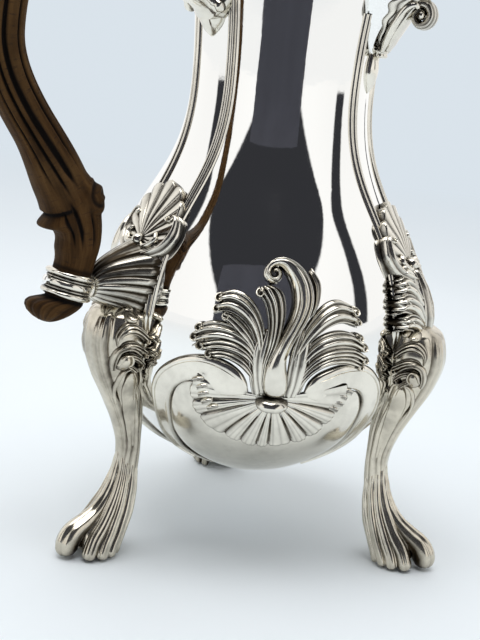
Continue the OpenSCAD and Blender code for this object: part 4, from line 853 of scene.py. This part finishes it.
growth = Relief()
for y, wide, tall in ((92, 12.6, 5), (98, 13.2, 6), (104, 12, 6), (109.5, 9, 5.4)):
    for m in (-1, 1):
        at = run_at(y)
        growth.between([(m * 0.4, at - tall), (m * 2.6, at), (m * 0.46 * wide, at + 0.8 * tall),
                        (m * 0.72 * wide, at + 1.1 * tall), (m * 0.94 * wide, at + 0.9 * tall)],
                       [(m * 2.2, at - tall - 1), (m * 5, at - 0.9 * tall),
                        (m * 0.64 * wide, at - 0.35 * tall), (m * 0.86 * wide, at - 0.1 * tall),
                        (m * (wide + 0.4), at - 0.1 * tall)],
                       [1.4, 2.2, 3.0, 3.4, 3.4], 3, 0.45, 2.2, scallop=1.2, roll=0.5, step=0.35)
        growth.curl(m * (wide - 1.8), at + 0.45 * tall, 2.1, 3.0, 90, 1.2, -m)
growth.between([(-1.4, run_at(87)), (-3.6, run_at(95)), (-3.4, run_at(104)), (-1.6, run_at(111.4))],
               [(1.4, run_at(87)), (3.6, run_at(95)), (3.4, run_at(104)), (1.6, run_at(111.4))],
               [3.0, 3.8, 3.8, 3.2], 3, 0.3, 2.4)
upright_shell(growth, 113.5)
leaf = growth.skin("leaf_spout", on_band([87, 91, 95, 99, 104, 109, 114, 118, 122, 128, 135],
                                         [5.5, 6.6, 6.8, 6.6, 5.4, 3.8, 2.2, 2.2, 2.0, 1.2, 0.4]))
placed(leaf, ["leaf_spout", "leaf_rear"], [spout_at, rear_at],
       [("knee_leaf_spout",), ("knee_leaf_rear",)], cast_silver)


# ---------------------------------------------------------------- the handle's bracket
# A cast scallop shell stands out from the band below the handle. Its ribs run together at a
# nose that carries the collar, and an upright shell climbs the band above it.

climb = Relief()
upright_shell(climb, 114.5)
top_leaf = climb.skin("bracket_leaf", on_band([110, 116, 122, 128, 135], [3.4, 2.4, 2.0, 1.2, 0.4]))
nose = np.array([75.0, 0, 99.6])
phi = np.radians(np.arange(0, 360, 1.25))[None]
p = np.linspace(0, 1, 96)[:, None]
bend = phi * 10 - 3.6 * np.sin(phi) * p ** 1.6 + 0.6 * np.cos(phi * 3)
rib = (1 - (1 - np.abs(np.cos(bend))) ** 1.6) * (0.8 + 0.2 * np.cos(phi * 7 + 1))
small = np.abs(np.cos(bend * 3)) ** 0.8
lip = np.clip((p - 0.95) / 0.05, 0, 1)
ruffle = 1 + (0.13 * rib + 0.05 * np.cos(phi * 5 + 0.7)) * p ** 3
wide = (3.2 + 8.2 * np.clip(p, 0, 0.97)) * ruffle
tall = (3.6 + 9.2 * np.clip(p, 0, 0.97)) * ruffle
cz = nose[2] + 3.2 * p
yy, zz = wide * np.sin(phi), cz + tall * np.cos(phi)
under = np.sqrt(np.clip(body_r(zz) ** 2 - yy ** 2, 0, None))
stand = ((nose[0] - under) * (1 - p ** 1.5) ** 1.05
         + (2.6 * p + 1.2 * np.sin(np.pi * p)) * (0.55 + 0.45 * rib + 0.05 * small) - (2.9 * p) * lip)
# Darker between the ribs and at the lip (tarnish and painted shade), and painted shade over the upper side
# near the nose
shell = tube("bracket_shell", np.stack([under + stand, yy, zz], -1),
             ((1 - rib) * 1.1 + 0.3 * (1 - small)) * np.clip(3 * p, 0, 1)
             + 0.75 * np.clip(np.cos(phi) * 1.6 - 0.3, 0, 1) * (1 - p) ** 0.6 + lip)
bracket = joined([shell, top_leaf], "bracket_shell")
placed(bracket, ["bracket_shell"], [handle_at], [("handle_bracket",)], cast_silver)

# The collar: reeded rings round the wood
def beads(floor, power, rings):
    """The profile of rounded rings side by side, each [start, end, radius]."""
    return [(floor + (r - floor) * math.sin(math.pi * q) ** power, z0 + (z1 - z0) * q)
            for z0, z1, r in rings for q in np.linspace(0, 1, 9)]

collar_x, collar_z, collar_lean = 83.5, 100.5, math.radians(14)
profile = [(6.5, -4.4)] + beads(7.5, 0.6, [
    (-4.4, -2.2, 8.7), (-2.2, -1.3, 7.9), (-1.3, 1.3, 8.2), (1.3, 2.2, 7.9), (2.2, 4.4, 8.7)])
profile.append((6.5, 4.4))
collar = turned("collar_rings", profile, 96)
flat = np.zeros(len(collar.data.vertices) * 3)
collar.data.vertices.foreach_get("co", flat)
height = flat.reshape(-1, 3)[:, 2] / MM
# Painted shade in the grooves between the rings
from_groove = np.min([np.abs(height - z) for z in (-2.2, -1.3, 1.3, 2.2)], 0)
mark_recess(collar, np.clip(1.1 - 1.6 * from_groove, 0, 1))
collar.data.transform(Matrix.Translation((-collar_x * MM, 0, collar_z * MM))
                      @ Matrix.Rotation(collar_lean, 4, "Y"))
stands_for(collar, ["lower_collar"], cast_silver)


# ---------------------------------------------------------------- the handle
# One piece of dark fruitwood, cut to a double curve and carved: long flutes taper along it,
# a scroll rolls over inside, a spur stands out behind, and a leaf turns out below the collar.

wood, shade, start = material("fruitwood")
lay = start.node("ShaderNodeUVMap", {"uv_map": "along"})
sheared = start.node("ShaderNodeMapping", {}, {"Vector": lay, "Scale": (90.0, 6.0, 1.0)})
streak = start.node("ShaderNodeTexNoise", {},
                    {"Vector": sheared, "Scale": 4.0, "Detail": 6.0, "Roughness": 0.65})
place = start.node("ShaderNodeTexCoord", out=3)
broad = start.node("ShaderNodeTexNoise", {}, {"Vector": place, "Scale": 55.0, "Detail": 2.0})
crossed = start.node("ShaderNodeMapping", {}, {"Vector": lay, "Scale": (160.0, 420.0, 1.0)})
checks = start.node("ShaderNodeTexNoise", {},
                    {"Vector": crossed, "Scale": 2.0, "Detail": 3.0, "Roughness": 0.7})
pores = start.node("ShaderNodeTexNoise", {},
                   {"Vector": sheared, "Scale": 22.0, "Detail": 3.0, "Roughness": 0.7})
deep = start.node("ShaderNodeAttribute", {"attribute_name": "recess"}, out=2)
browns = [(0.3, (0.018, 0.0085, 0.0028)), (0.5, (0.050, 0.024, 0.0075)), (0.72, (0.110, 0.056, 0.018))]
brown = streak.node("ShaderNodeValToRGB", {"stops": browns}, {0: streak})
worn = ((broad - 0.45) * 2.4).within().mix(brown, (0.11, 0.060, 0.022, 1))
checked = ((0.44 - checks) * 6.0).within().mix(worn, (0.028, 0.016, 0.009, 1))
# Near-black where the recess mark is high: dirt in the carving and painted shade
(deep * 1.3).within().mix(checked, (0.005, 0.0035, 0.003, 1)).into(shade, "Base Color")
(0.5 + pores * 0.2 + deep * 0.2).into(shade, "Roughness")
shade.inputs["Specular IOR Level"].default_value = 0.07
bumps = {"Strength": 0.7, "Distance": 0.00035, "Height": pores * 0.5 + streak + checks * 0.8}
start.node("ShaderNodeBump", {}, bumps).into(shade, "Normal")

handle_reach, handle_top, socket_z, tilt = 113, 231, 201.5, math.radians(12)
wall_at = float(body_r(socket_z))
root_z = socket_z - wall_at * math.tan(tilt)
socket_dir = np.array([math.cos(tilt), math.sin(tilt)])
wood_start = np.array([59, root_z + 59 * math.tan(tilt)]) + 0.2 * socket_dir
collar_dir = np.array([math.sin(collar_lean), -math.cos(collar_lean)])
collar_mid = np.array([collar_x, collar_z])
collar_half = 5.25
collar_top, collar_foot = collar_mid - collar_half * collar_dir, collar_mid + collar_half * collar_dir
crown = np.array([0.79 * handle_reach, handle_top])
far = np.array([handle_reach, 0.62 * handle_top + 0.38 * collar_z])
steps = [70, 100, 140, 20]  # to the crown, to the far side, to the collar, through it
line = np.vstack([
    bezier([wood_start, wood_start + 9 * socket_dir, crown - [14, 0], crown], steps[0]),
    bezier([crown, crown + [14, 0], far + [0, 20], far], steps[1], 1),
    bezier([far, far - [0, 26], collar_top - 32 * collar_dir, collar_top], steps[2], 1),
    bezier([collar_top, collar_top + 3 * collar_dir, collar_foot - 3 * collar_dir,
            collar_foot], steps[3], 1),
    collar_foot + np.linspace(0, 1, 30)[1:, None] * 8.6 * collar_dir])
walk = np.concatenate([[0], np.cumsum(np.hypot(*np.diff(line, axis=0).T))])
total, s_collar, s_knob = walk[-1], walk[sum(steps[:3])], walk[sum(steps)]
even = np.concatenate([np.linspace(0, s_knob, 560, endpoint=False),
                       s_knob + (total - s_knob) * np.sin(np.linspace(0, 1, 44) * np.pi / 2)])
cx, cz = np.interp(even, walk, line[:, 0]), np.interp(even, walk, line[:, 1])
d = np.gradient(line, walk, axis=0)
tx, tz = np.interp(even, walk, d[:, 0]), np.interp(even, walk, d[:, 1])
nx, nz = -tz / np.hypot(tx, tz), tx / np.hypot(tx, tz)

def hump(s, mid, reach):
    q = (s - mid) / reach
    return np.where(np.abs(q) < 1, np.cos(np.pi / 2 * np.clip(q, -1, 1)) ** 2, 0)

def easing(q):
    q = np.clip(q, 0, 1)
    return q * q * (3 - 2 * q)

near_collar = easing((even - s_collar + 10) / 9)
depth = (7.3 * (0.88 + 0.12 * easing(even / 22)) + 0.6 * hump(even, s_collar - 33, 26)
         + 1.0 * hump(even, s_collar - 17, 14) - 1.0 * near_collar)
width = 6.5 * (0.9 + 0.1 * easing(even / 22)) + 1.0 * hump(even, s_collar - 20, 22) - 0.2 * near_collar
inside = (even >= s_collar) & (even <= s_knob)
collar_fit = 6.3
depth, width = np.where(inside, collar_fit, depth), np.where(inside, collar_fit, width)
# Below the collar the wood flares outward into a leaf with a pointed tip
past = even - s_knob
leaf_run = [0, 0.5, 1.2, 2.0, 3.2, 4.6, 6.2, 7.6, 8.4, 8.6]
outer = np.interp(past, leaf_run, [6.3, 7.4, 9.6, 11.6, 12.8, 12.8, 11.6, 9.4, 7.0, 5.4])
inner = np.interp(past, leaf_run, [-6.3, -6.2, -5.9, -5.3, -4.2, -2.8, -0.8, 1.4, 3.0, 4.2])
shift = np.where(past > 0, (outer + inner) / 2, 0)
depth = np.where(past > 0, (outer - inner) / 2, depth)
tip_width = 6.6 * np.sqrt(np.clip(1 - (np.clip(past, 0, 8.55) / 8.6) ** 2.4, 0, 1))
width = np.where(past > 0, tip_width, width)
T, S = np.meshgrid(np.arange(-180, 180, 2.25), even)
c, s = squared(np.cos(np.radians(T)), 0.82), squared(np.sin(np.radians(T)), 0.82)
# Flutes: heights along the wood before the collar, degrees round it from the outside, width, depth
lift, hollow = np.zeros_like(T), np.zeros_like(T)
for at, around, wide, deep in (
        ([-116, -104, -80, -55, -36, -28], [78, 78, 80, 84, 90, 94], [2, 5, 6.5, 7, 5.5, 2],
         [0, 1.3, 1.9, 2.0, 1.6, 0]),
        ([-112, -98, -74, -50, -34, -25], [54, 55, 58, 63, 70, 76], [1.5, 3.6, 4.6, 4.8, 4, 1.5],
         [0, 1.1, 1.5, 1.5, 1.2, 0]),
        ([-84, -72, -56, -40, -30], [32, 33, 37, 43, 50], [1.5, 3, 3.6, 3.4, 1.5], [0, 0.8, 1.1, 1.0, 0]),
        ([-108, -92, -66, -44, -31], [112, 112, 113, 116, 120], [1.5, 4, 5, 4.4, 1.6],
         [0, 1.1, 1.5, 1.2, 0]),
        ([-92, -80, -60, -46, -36], [140, 140, 140, 141, 142], [1.5, 3, 3.6, 3, 1.5],
         [0, 0.6, 0.9, 0.7, 0]),
        ([-27, -22, -14, -6.5], [66, 72, 80, 82], [1.5, 5, 5.4, 2], [0, 1.5, 1.4, 0]),
        ([-25, -20, -13, -7.5], [44, 50, 58, 62], [1.5, 4, 4.4, 2], [0, 1.3, 1.1, 0]),
        ([-22, -17, -11, -7], [100, 104, 106, 104], [1.5, 3.6, 3.6, 1.5], [0, 1.0, 0.9, 0]),
        ([-190, -176, -150, -128, -122], [80, 80, 79, 78, 78], [2, 6, 7, 6, 2], [0, 1.3, 1.7, 1.4, 0]),
        ([-190, -170, -150, -118], [52, 52, 53, 54], [1.5, 4, 4.6, 1.5], [0, 1.0, 1.2, 0]),
        ([-190, -170, -150, -114], [112, 112, 112, 112], [1.5, 4, 4.6, 1.5], [0, 1.0, 1.2, 0])):
    at = np.array(at) + s_collar
    off = (np.abs(T) - np.interp(S, at, around)) / (0.85 * np.interp(S, at, wide))
    cut = 0.68 * np.interp(S, at, deep) * np.exp(-(np.abs(off) ** 3.4))
    lift -= cut
    # The flutes are darkened: dirt and painted shade
    hollow += 1.25 * cut
# The spur outside, the scroll inside, and the veins of the leaf, their creases darkened with dirt and
# painted shade
spur = hump(S, s_collar - 18.8, 5.0) * np.clip(c, 0, 1) ** 2.2
lift += (2.3 * easing((S - s_collar + 52) / 22) * easing((s_collar - 21.5 - S) / 3) * np.clip(c, 0, 1)
         + 4.4 * spur - 1.0 * hump(S, s_collar - 11.6, 5.5) * np.clip(c, 0, 1) ** 1.5)
hollow += 1.2 * hump(S, s_collar - 22.8, 1.6) * np.clip(c * 1.5, 0, 1) * (np.abs(T) < 66)
lift += 1.9 * (hump(S, s_collar - 24, 8) * np.clip(-c, 0, 1) ** 1.2)
u, v = (np.abs(T) - 140) * 0.118, S - (s_collar - 23)
swirl = np.hypot(u, v)
ring = np.cos(swirl * 1.9 - np.arctan2(v, u)) * (swirl < 5.6) * (swirl > 0.8)
lift += 0.34 * ring + 0.9 * np.clip(1 - (swirl / 5.8) ** 2, 0, 1)
hollow += np.clip(-ring, 0, 1) * 0.7
on_leaf, veins = S > s_knob + 0.6, np.cos(np.radians(T) * 12)
lift += np.where(on_leaf, 0.25 * veins * np.clip((S - s_knob - 0.6) / 2, 0, 1), 0)
hollow += np.where(on_leaf, 0.35 * np.clip(-veins, 0, 1), 0)
# Painted shade where the wood meets the collar at either end
hollow += 0.9 * np.exp(-((S - s_knob) / 0.9) ** 2) + 0.6 * np.exp(-((S - s_collar) / 0.9) ** 2)
lift = np.where((S > s_collar - 0.8) & (S < s_knob + 0.5), 0, lift)
stand = depth[:, None] * c + lift * c + shift[:, None]
rings = np.stack([-(cx[:, None] + nx[:, None] * stand), (width[:, None] + lift) * s,
                  cz[:, None] + nz[:, None] * stand], -1)
handle = tube("carved_handle", rings, hollow)
uv = handle.data.uv_layers.new(name="along")
vertex = np.zeros(len(handle.data.loops), np.int32)
handle.data.loops.foreach_get("vertex_index", vertex)
u_of = np.append(np.abs(T).ravel() / 180 * 0.02, [0, 0])
v_of = np.append(S.ravel() * MM, [0, total * MM])
uv.data.foreach_set("uv", np.stack([u_of[vertex], v_of[vertex]], -1).ravel().astype(np.float32))
stands_for(handle, ["handle"], wood)


# ---------------------------------------------------------------- the spout
# A raised beak with an everted lip is soldered over the strainer holes. A leaf folds round
# its keel, rises from a cuff over a smooth drop, and rolls into a volute.

spout_top, spout_tip, spout_half, spout_wall = 221.8, 72, 19, 2.4

def beak(levels, grow, span=1.0, count=41):
    """Half rings round the beak from one side to the other, grown outward."""
    t = levels[:, None]
    z = spout_foot + t * (spout_top - spout_foot)
    v = np.linspace(-1, 1, count)[None]
    u = v * (span if np.ndim(span) == 0 else span[:, None])
    w = 3 + (spout_half - 3) * t ** 0.75 + grow * 0.6
    y = w * np.sin(u * np.pi / 2)
    back = np.sqrt(body_r(z) ** 2 - np.clip(y, -body_r(z), body_r(z)) ** 2)
    reach = np.maximum(1.6 + (spout_tip - rim_r - 1.6) * t ** 1.55 + grow, 0)
    x = back + reach * np.cos(u * np.pi / 2) ** 1.25
    return np.stack([x, y, z + 0.14 * t * np.maximum(x - body_r(z) - 4, 0) + 0 * y], -1)

levels = np.concatenate([np.linspace(0, 1, 64) ** 1.1, [1.004, 1.0]])
swell = 0.9 * np.exp(-((levels[:, None] - 0.985) / 0.02) ** 2)
outside = beak(levels, 0 * levels[:, None] + swell)
within = beak(levels, -spout_wall + 0 * levels[:, None])
spout = tube("beak", np.concatenate([outside, within[:, ::-1]], 1), None, True)
placed(spout, ["spout_beak"], [spout_at], [("spout",)], mirror_silver)

levels = np.linspace(0.05, 0.88, 90)
v = np.linspace(-1, 1, 97)
span = 0.58 * np.sin(np.pi * np.clip(0.08 + 0.95 * levels, 0, 1)) ** 0.8 * (1 + 0.06 * np.cos(levels * 40))
ribs = np.abs(np.cos(v * np.pi * 4.5)) ** 0.7
grow = (0.35 + (0.9 + 1.0 * ribs[None]) * (1 - np.abs(v[None]) ** 4)
        * np.sin(np.pi * np.clip(levels[:, None] * 1.1, 0, 1)) ** 0.6)
upper = beak(levels, grow, span, 97)
lower = beak(levels, 0.15, span, 97)
shaded = np.concatenate([(1 - ribs) * 0.95, 0 * ribs])[None] * np.ones((90, 1))
pieces = [tube("keel_leaf", np.concatenate([upper, lower[:, ::-1]], 1), shaded, True)]

def scroll(name, line, wide, thick, flutes=3):
    """A band rolled up in the plane through the pot's axis, with flutes along its outer face."""
    n = 120
    p = smooth_line(line, n)
    d = np.gradient(p, axis=0)
    d /= np.linalg.norm(d, axis=1)[:, None]
    out = np.stack([-d[:, 1], d[:, 0]], -1)
    t = np.linspace(0, 1, n)
    w, h = spread(wide, t), spread(thick, t)
    a = np.radians(np.arange(0, 360, 7.5))[None]
    groove = 1 - 0.22 * (0.5 + 0.5 * np.cos(np.sin(a) * np.pi * flutes)) * (np.cos(a) > 0)
    y = w[:, None] * squared(np.sin(a), 0.7)
    o = h[:, None] * squared(np.cos(a), 0.8) * groove
    rings = np.stack([p[:, :1] + out[:, :1] * o, y, p[:, 1:] + out[:, 1:] * o], -1)
    # Darker in the flutes and at the side edges: tarnish and painted shade
    return tube(name, rings, (1 - groove) * 3.2 + np.clip(np.abs(np.sin(a)) - 0.93, 0, 1) * 8 + 0 * y)

pieces.append(scroll("volute", [(38.2, 187.6), (40.2, 192.6), (42.8, 197.4), (45.2, 201.4), (48, 204.2),
                                (51.2, 203.8), (52.8, 200.8), (51.6, 197.8), (48.8, 197.2),
                                (47, 199.4), (48, 201.8), (50, 201.4), (50, 200)],
                     [2.4, 4.4, 5.0, 5.0, 4.8, 4.6, 4.4, 4.2, 4.0, 3.8, 3.4, 2.8],
                     [1.0, 1.5, 1.6, 1.6, 1.7, 1.8, 1.8, 1.7, 1.6, 1.4, 1.2, 0.8]))
for m in (-1, 1):
    pieces.append(limb("stem", [(37.2, m * 3.2, 187), (39.2, m * 4.8, 192.4), (41.6, m * 6.0, 197.4),
                                (44.6, m * 6.6, 202), (47.6, m * 6.0, 203.6), (49, m * 5.2, 202.2)],
                       [0.8, 1.3, 1.5, 1.4, 1.2, 0.8], (0.8, 0.6 * m, -0.2)))
    pieces.append(limb("knob", [(49.4, m * 2.0, 200.4), (49.4, m * 5.4, 200.4)],
                       [1.5, 1.5], (1, 0, 0), 16, 16))
a = np.radians(np.arange(0, 360, 9))
cuff = [np.stack([36.4 + 2.0 * np.cos(a) * k, 3.5 * np.sin(a) * k, 186.4 + h + 0 * a], -1)
        for k, h in ((0.7, -1.5), (0.96, -1.2), (1.05, -0.7), (0.94, -0.2), (0.94, 0.2), (1.08, 0.7),
                     (1.0, 1.2), (0.7, 1.5))]
pieces.append(tube("cuff", cuff))
leaf = joined(pieces, "beak_leaf")
placed(leaf, ["beak_leaf"], [spout_at], [("spout_leaf",)], cast_silver)

def husk(name, top, tall, wide, thick):
    """A smooth pendant drop that lies against the neck."""
    t = np.linspace(0.01, 1, 60)[:, None]
    a = np.radians(np.arange(0, 360, 6))[None]
    z = top - (1 - t) * tall
    w = wide / 2 * np.sin(t * np.pi * 0.80) ** 0.8
    h = thick * np.sin(t * np.pi * 0.86) ** 0.7
    y = w * np.sin(a)
    under = np.sqrt(body_r(z) ** 2 - y ** 2)
    x = under - 0.3 + h * np.clip(np.cos(a), 0, 1) ** 0.8
    # Painted shade on the side that faces the neck
    return tube(name, np.stack([x, y, z + 0 * y], -1), 0.5 * np.clip(0.16 - np.cos(a), 0, 1) + 0 * y)

placed(husk("spout_pendant", 186.4, 14.5, 7.6, 3.2), ["spout_pendant"], [spout_at],
       [("spout_drop",)], cast_silver)
placed(husk("socket_pendant", 198.5, 12.5, 11.6, 4.8), ["socket_pendant"], [handle_at],
       [("upper_socket_drop",)], cast_silver)


# ---------------------------------------------------------------- the upper socket
# A cast socket holds the handle's upper tenon. Rings finish its mouth, leaves spread from
# its root over the band, and a pin goes through it and the wood.

knots = [(10.4, wall_at - 2.2), (10.6, wall_at + 0.4), (9.9, wall_at + 1.4), (8.6, wall_at + 3.4),
         (7.4, wall_at + 6.4), (6.9, wall_at + 9.4), (7.2, wall_at + 12)]
profile = [tuple(p) for p in smooth_line(knots, 40)]
profile += beads(7.4, 0.55, [
    (50.2, 51.2, 7.7), (51.2, 53.8, 8.9), (53.8, 54.6, 8.0), (54.6, 57.0, 8.5), (57.0, 59.0, 8.9)])
profile += [(6.2, 59.0), (6.0, 56), (5.2, 50), (4, 46), (3, wall_at - 2.2)]
socket = turned("socket_turned", [(r, x / math.cos(tilt)) for r, x in profile], 96)
mark_recess(socket)
to_socket = Matrix.Translation((0, 0, root_z * MM)) @ Matrix.Rotation(math.pi / 2 - tilt, 4, "Y")
socket.data.transform(to_socket)
pieces = [socket]
for k in range(7):
    a = math.radians((k - 3) * 42)
    def at(along, r):
        return (along * math.cos(tilt) - r * math.cos(a) * math.sin(tilt), r * math.sin(a),
                root_z + along * math.sin(tilt) + r * math.cos(a) * math.cos(tilt))
    pieces.append(limb("petal", [at(wall_at + 9.5, 6.4), at(wall_at + 6.5, 7.5), at(wall_at + 3.8, 9.0),
                                 at(wall_at + 2.2, 10.8), at(wall_at + 1.6, 12.2)],
                       [0.5, 1.3, 2.0, 2.3, 1.9], (0.5, math.sin(a), math.cos(a))))
socket = joined(pieces, "handle_socket")
placed(socket, ["handle_socket"], [handle_at], [("upper_socket",)], cast_silver)


# ---------------------------------------------------------------- the lid
# A domed lid, raised from sheet silver, turns on the hinge at the handle's side. A wire is
# soldered round its edge, and three pairs of reeds carry the bands on up to the finial.

def lid_ring(name, profile, node):
    ring = turned(name, profile, 192)
    mark_recess(ring)
    stands_for(ring, [node], mirror_silver, "lid")

lid_z, lid_top = 222.3, 252.3
lid_foot, lid_edge = 36.2, 39.0
lid_curve = bezier([[lid_foot, lid_z + 2.6], [lid_foot - 3, lid_z + 16.5],
                    [15, lid_z + 19.8], [6, lid_top]], 60)
d = np.gradient(lid_curve, axis=0)
d /= np.linalg.norm(d, axis=1)[:, None]
lining = lid_curve + wall * np.stack([-d[:, 1], d[:, 0]], -1)
profile = ([(lid_foot, lid_z)] + [tuple(p) for p in lid_curve]
           + [(2.2, lid_top), (2.2, lid_top - wall), (5.1, lid_top - wall)])
profile += ([tuple(p) for p in reversed(lining) if lid_z + 2.6 < p[1] < lid_top - 2.2]
            + [(lid_foot - wall, lid_z)])
lid_ring("lid_dome", profile, "lid")
profile = [(lid_foot + 0.05, lid_z), (lid_edge, lid_z)]
profile += [(lid_edge - 0.1 + 0.5 * math.sin(math.pi * q), lid_z + 0.05 + 1.45 * q)
            for q in np.linspace(0, 1, 12)]
profile += [(lid_edge - 1.1 + 0.35 * math.sin(math.pi * q), lid_z + 1.55 + 0.8 * q)
            for q in np.linspace(0, 1, 8)] + [(lid_foot + 0.05, lid_z + 2.5)]
lid_ring("lid_wire", profile, "lid_edge_wire")

def lid_reed(angle):
    """Three threads each side of a band, from the edge of the lid to the finial's seat."""
    walk = np.concatenate([[0], np.cumsum(np.linalg.norm(np.diff(lid_curve, axis=0), axis=1))])
    strips = []
    for m in (-1, 1):
        rows = []
        for s in np.linspace(0.5, walk[-1] - 1.0, 90):
            r, z = (np.interp(s, walk, lid_curve[:, k]) for k in (0, 1))
            n = [np.interp(s, walk, d[:, 1]), -np.interp(s, walk, d[:, 0])]
            share = (z - lid_z) / (lid_top - lid_z)
            middle = 8.8 + (3.2 - 8.8) * share
            shrink = 1.0 - 0.5 * share
            row = []
            for q in np.linspace(-1.55, 1.55, 25):
                crest = 1.25 if abs(q) < 0.5 else 0.8
                rise = crest * math.sqrt(max(0, 1 - ((q - round(q)) / 0.53) ** 2)) * shrink
                rise = rise if abs(q) < 1.5 else -0.3
                y = m * middle + q * 1.25 * shrink
                y = max(-r * 0.98, min(r * 0.98, y))
                row.append((math.sqrt(r * r - y * y) + n[0] * rise, y, z + n[1] * rise))
            rows.append(row + [(x - 0.5 * n[0], y, z - 0.5 * n[1]) for x, y, z in (row[-1], row[0])])
        strips.append(tube("reed", rows))
    made = joined(strips, "reed")
    made.data.transform(Matrix.Rotation(math.radians(angle), 4, "Z"))
    return made

reeds = joined([lid_reed(a) for a in (handle_at, spout_at, rear_at)], "lid_reeds")
stands_for(reeds, ["lid_bands"], cast_silver, body_name="lid")


# ---------------------------------------------------------------- the finial and the thumbpiece
# A fluted bud stands in a leafy calyx on top of the lid, held by a nut inside. A shell
# thumbpiece is fixed over the lid's hinge.

bud_z, bud_h = lid_top + 6.5, 20.5
a = np.radians(np.arange(0, 360, 4))[None]
knots = [(2.0, 0), (4.6, 0.4), (6.6, 2.6), (7.4, 5.4), (6.9, 8.6), (5.0, 12), (3.0, 15), (1.7, 17),
         (1.5, 17.8), (2.2, 18.8), (2.1, 19.8), (1.2, 20.6), (0.2, 20.9)]
line = smooth_line(knots, 110)
q = line[:, 1:] / bud_h
swirl = np.abs(np.cos((a + 1.5 * q) * 4)) ** 0.7
flute = 1 - 0.14 * (1 - swirl) * np.clip(np.sin(np.pi * np.clip(q / 0.84, 0, 1)), 0, 1)
rings = np.stack([line[:, :1] * flute * np.cos(a), line[:, :1] * flute * np.sin(a),
                  bud_z + line[:, 1:] + 0 * a], -1)
# Darker in the flutes: tarnish and painted shade
bud = tube("bud", rings, (1 - flute) * 6)
stud = turned("stud", [(0.01, lid_top - 6), (2, lid_top - 6), (2, bud_z + 0.2), (0.01, bud_z + 0.2)], 32)
mark_recess(stud)
bud = joined([bud, stud], "finial_bud")
stands_for(bud, ["finial"], cast_silver, body_name="lid")
a = np.radians(np.arange(0, 360, 3))[None]
knots = [(2.1, 0.1), (6.6, 0.1), (6.9, 0.9), (5.2, 1.8), (4.3, 2.8), (4.6, 4.0), (6.0, 5.4), (7.6, 6.4),
         (7.2, 6.9), (5.6, 6.2), (3.0, 5.8)]
line = smooth_line(knots, 90)
rise = np.clip((line[:, 1:] - 2.4) / 4, 0, 1)
lobe = np.abs(np.cos(a * 4)) ** 0.6
scale = 1 - 0.24 * (1 - lobe) * rise
rings = np.stack([line[:, :1] * scale * np.cos(a), line[:, :1] * scale * np.sin(a),
                  lid_top + line[:, 1:] - 1.6 * (1 - lobe) * rise], -1)
# Darker between the lobes: tarnish and painted shade
calyx = tube("calyx_leaves", rings, (1 - lobe) * rise)
stands_for(calyx, ["finial_calyx"], cast_silver, body_name="lid")

thumb = Relief()
a = np.radians(np.linspace(-100, 100, 120))[None]
q = np.linspace(0.06, 1.03, 30)[:, None]
rib = np.abs(np.cos(a * 5.5)) ** 0.7
reach = np.clip(q, 0, 1) * (8.6 + 0.5 * rib)
lip = np.clip((q - 1) / 0.03, 0, 1)
# Darker between the ribs and at the lip: tarnish and painted shade
thumb.grid(reach * np.sin(a), 2.2 + reach * np.cos(a),
           (1.3 + 1.5 * q - 0.8 * (1 - rib) * q) * (1 - lip) - 0.2 * lip, (1 - rib) * 0.9 + lip)
for m in (-1, 1):
    thumb.curl(m * 7.6, 1.4, 1.9, 3.0, 0, 1.3, m)
thumb.boss(0, 1.2, 2.6, 1.8, 3.0)
hinge_x, thumb_z = 43.6, 226.9

def thumb_face(name, back, gain):
    """One face of the shell, which leans outward as it rises."""
    return thumb.skin(name, lambda x, y, h: np.stack(
        [hinge_x - back + 0.10 * y + 0.02 * y * y + h * gain, x, thumb_z + y * 1.05], -1))

thumb_faces = [thumb_face("thumb_front", 1.0, 0.8), thumb_face("thumb_back", 1.2, -0.5)]
root = limb("thumb_root", [(43.0, 0, thumb_z), (42.4, 0, 229), (42.8, 0, 231.6)],
            [2.6, 2.0, 1.4], (1, 0, 0))
thumb_piece = joined([*thumb_faces, root], "thumb_shell")
thumb_piece.data.transform(Matrix.Rotation(math.pi, 4, "Z"))
stands_for(thumb_piece, ["thumbpiece"], cast_silver, body_name="lid")


# ---------------------------------------------------------------- finishing
# The turned pins, the hinge barrels, the bezel, the mouth wire and the finial's nut are of
# silver, polished like the body. They keep the frame's own shapes.
for name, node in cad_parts.items():
    if node.hide_render:
        continue
    node.data.materials.clear()
    node.data.materials.append(mirror_silver)
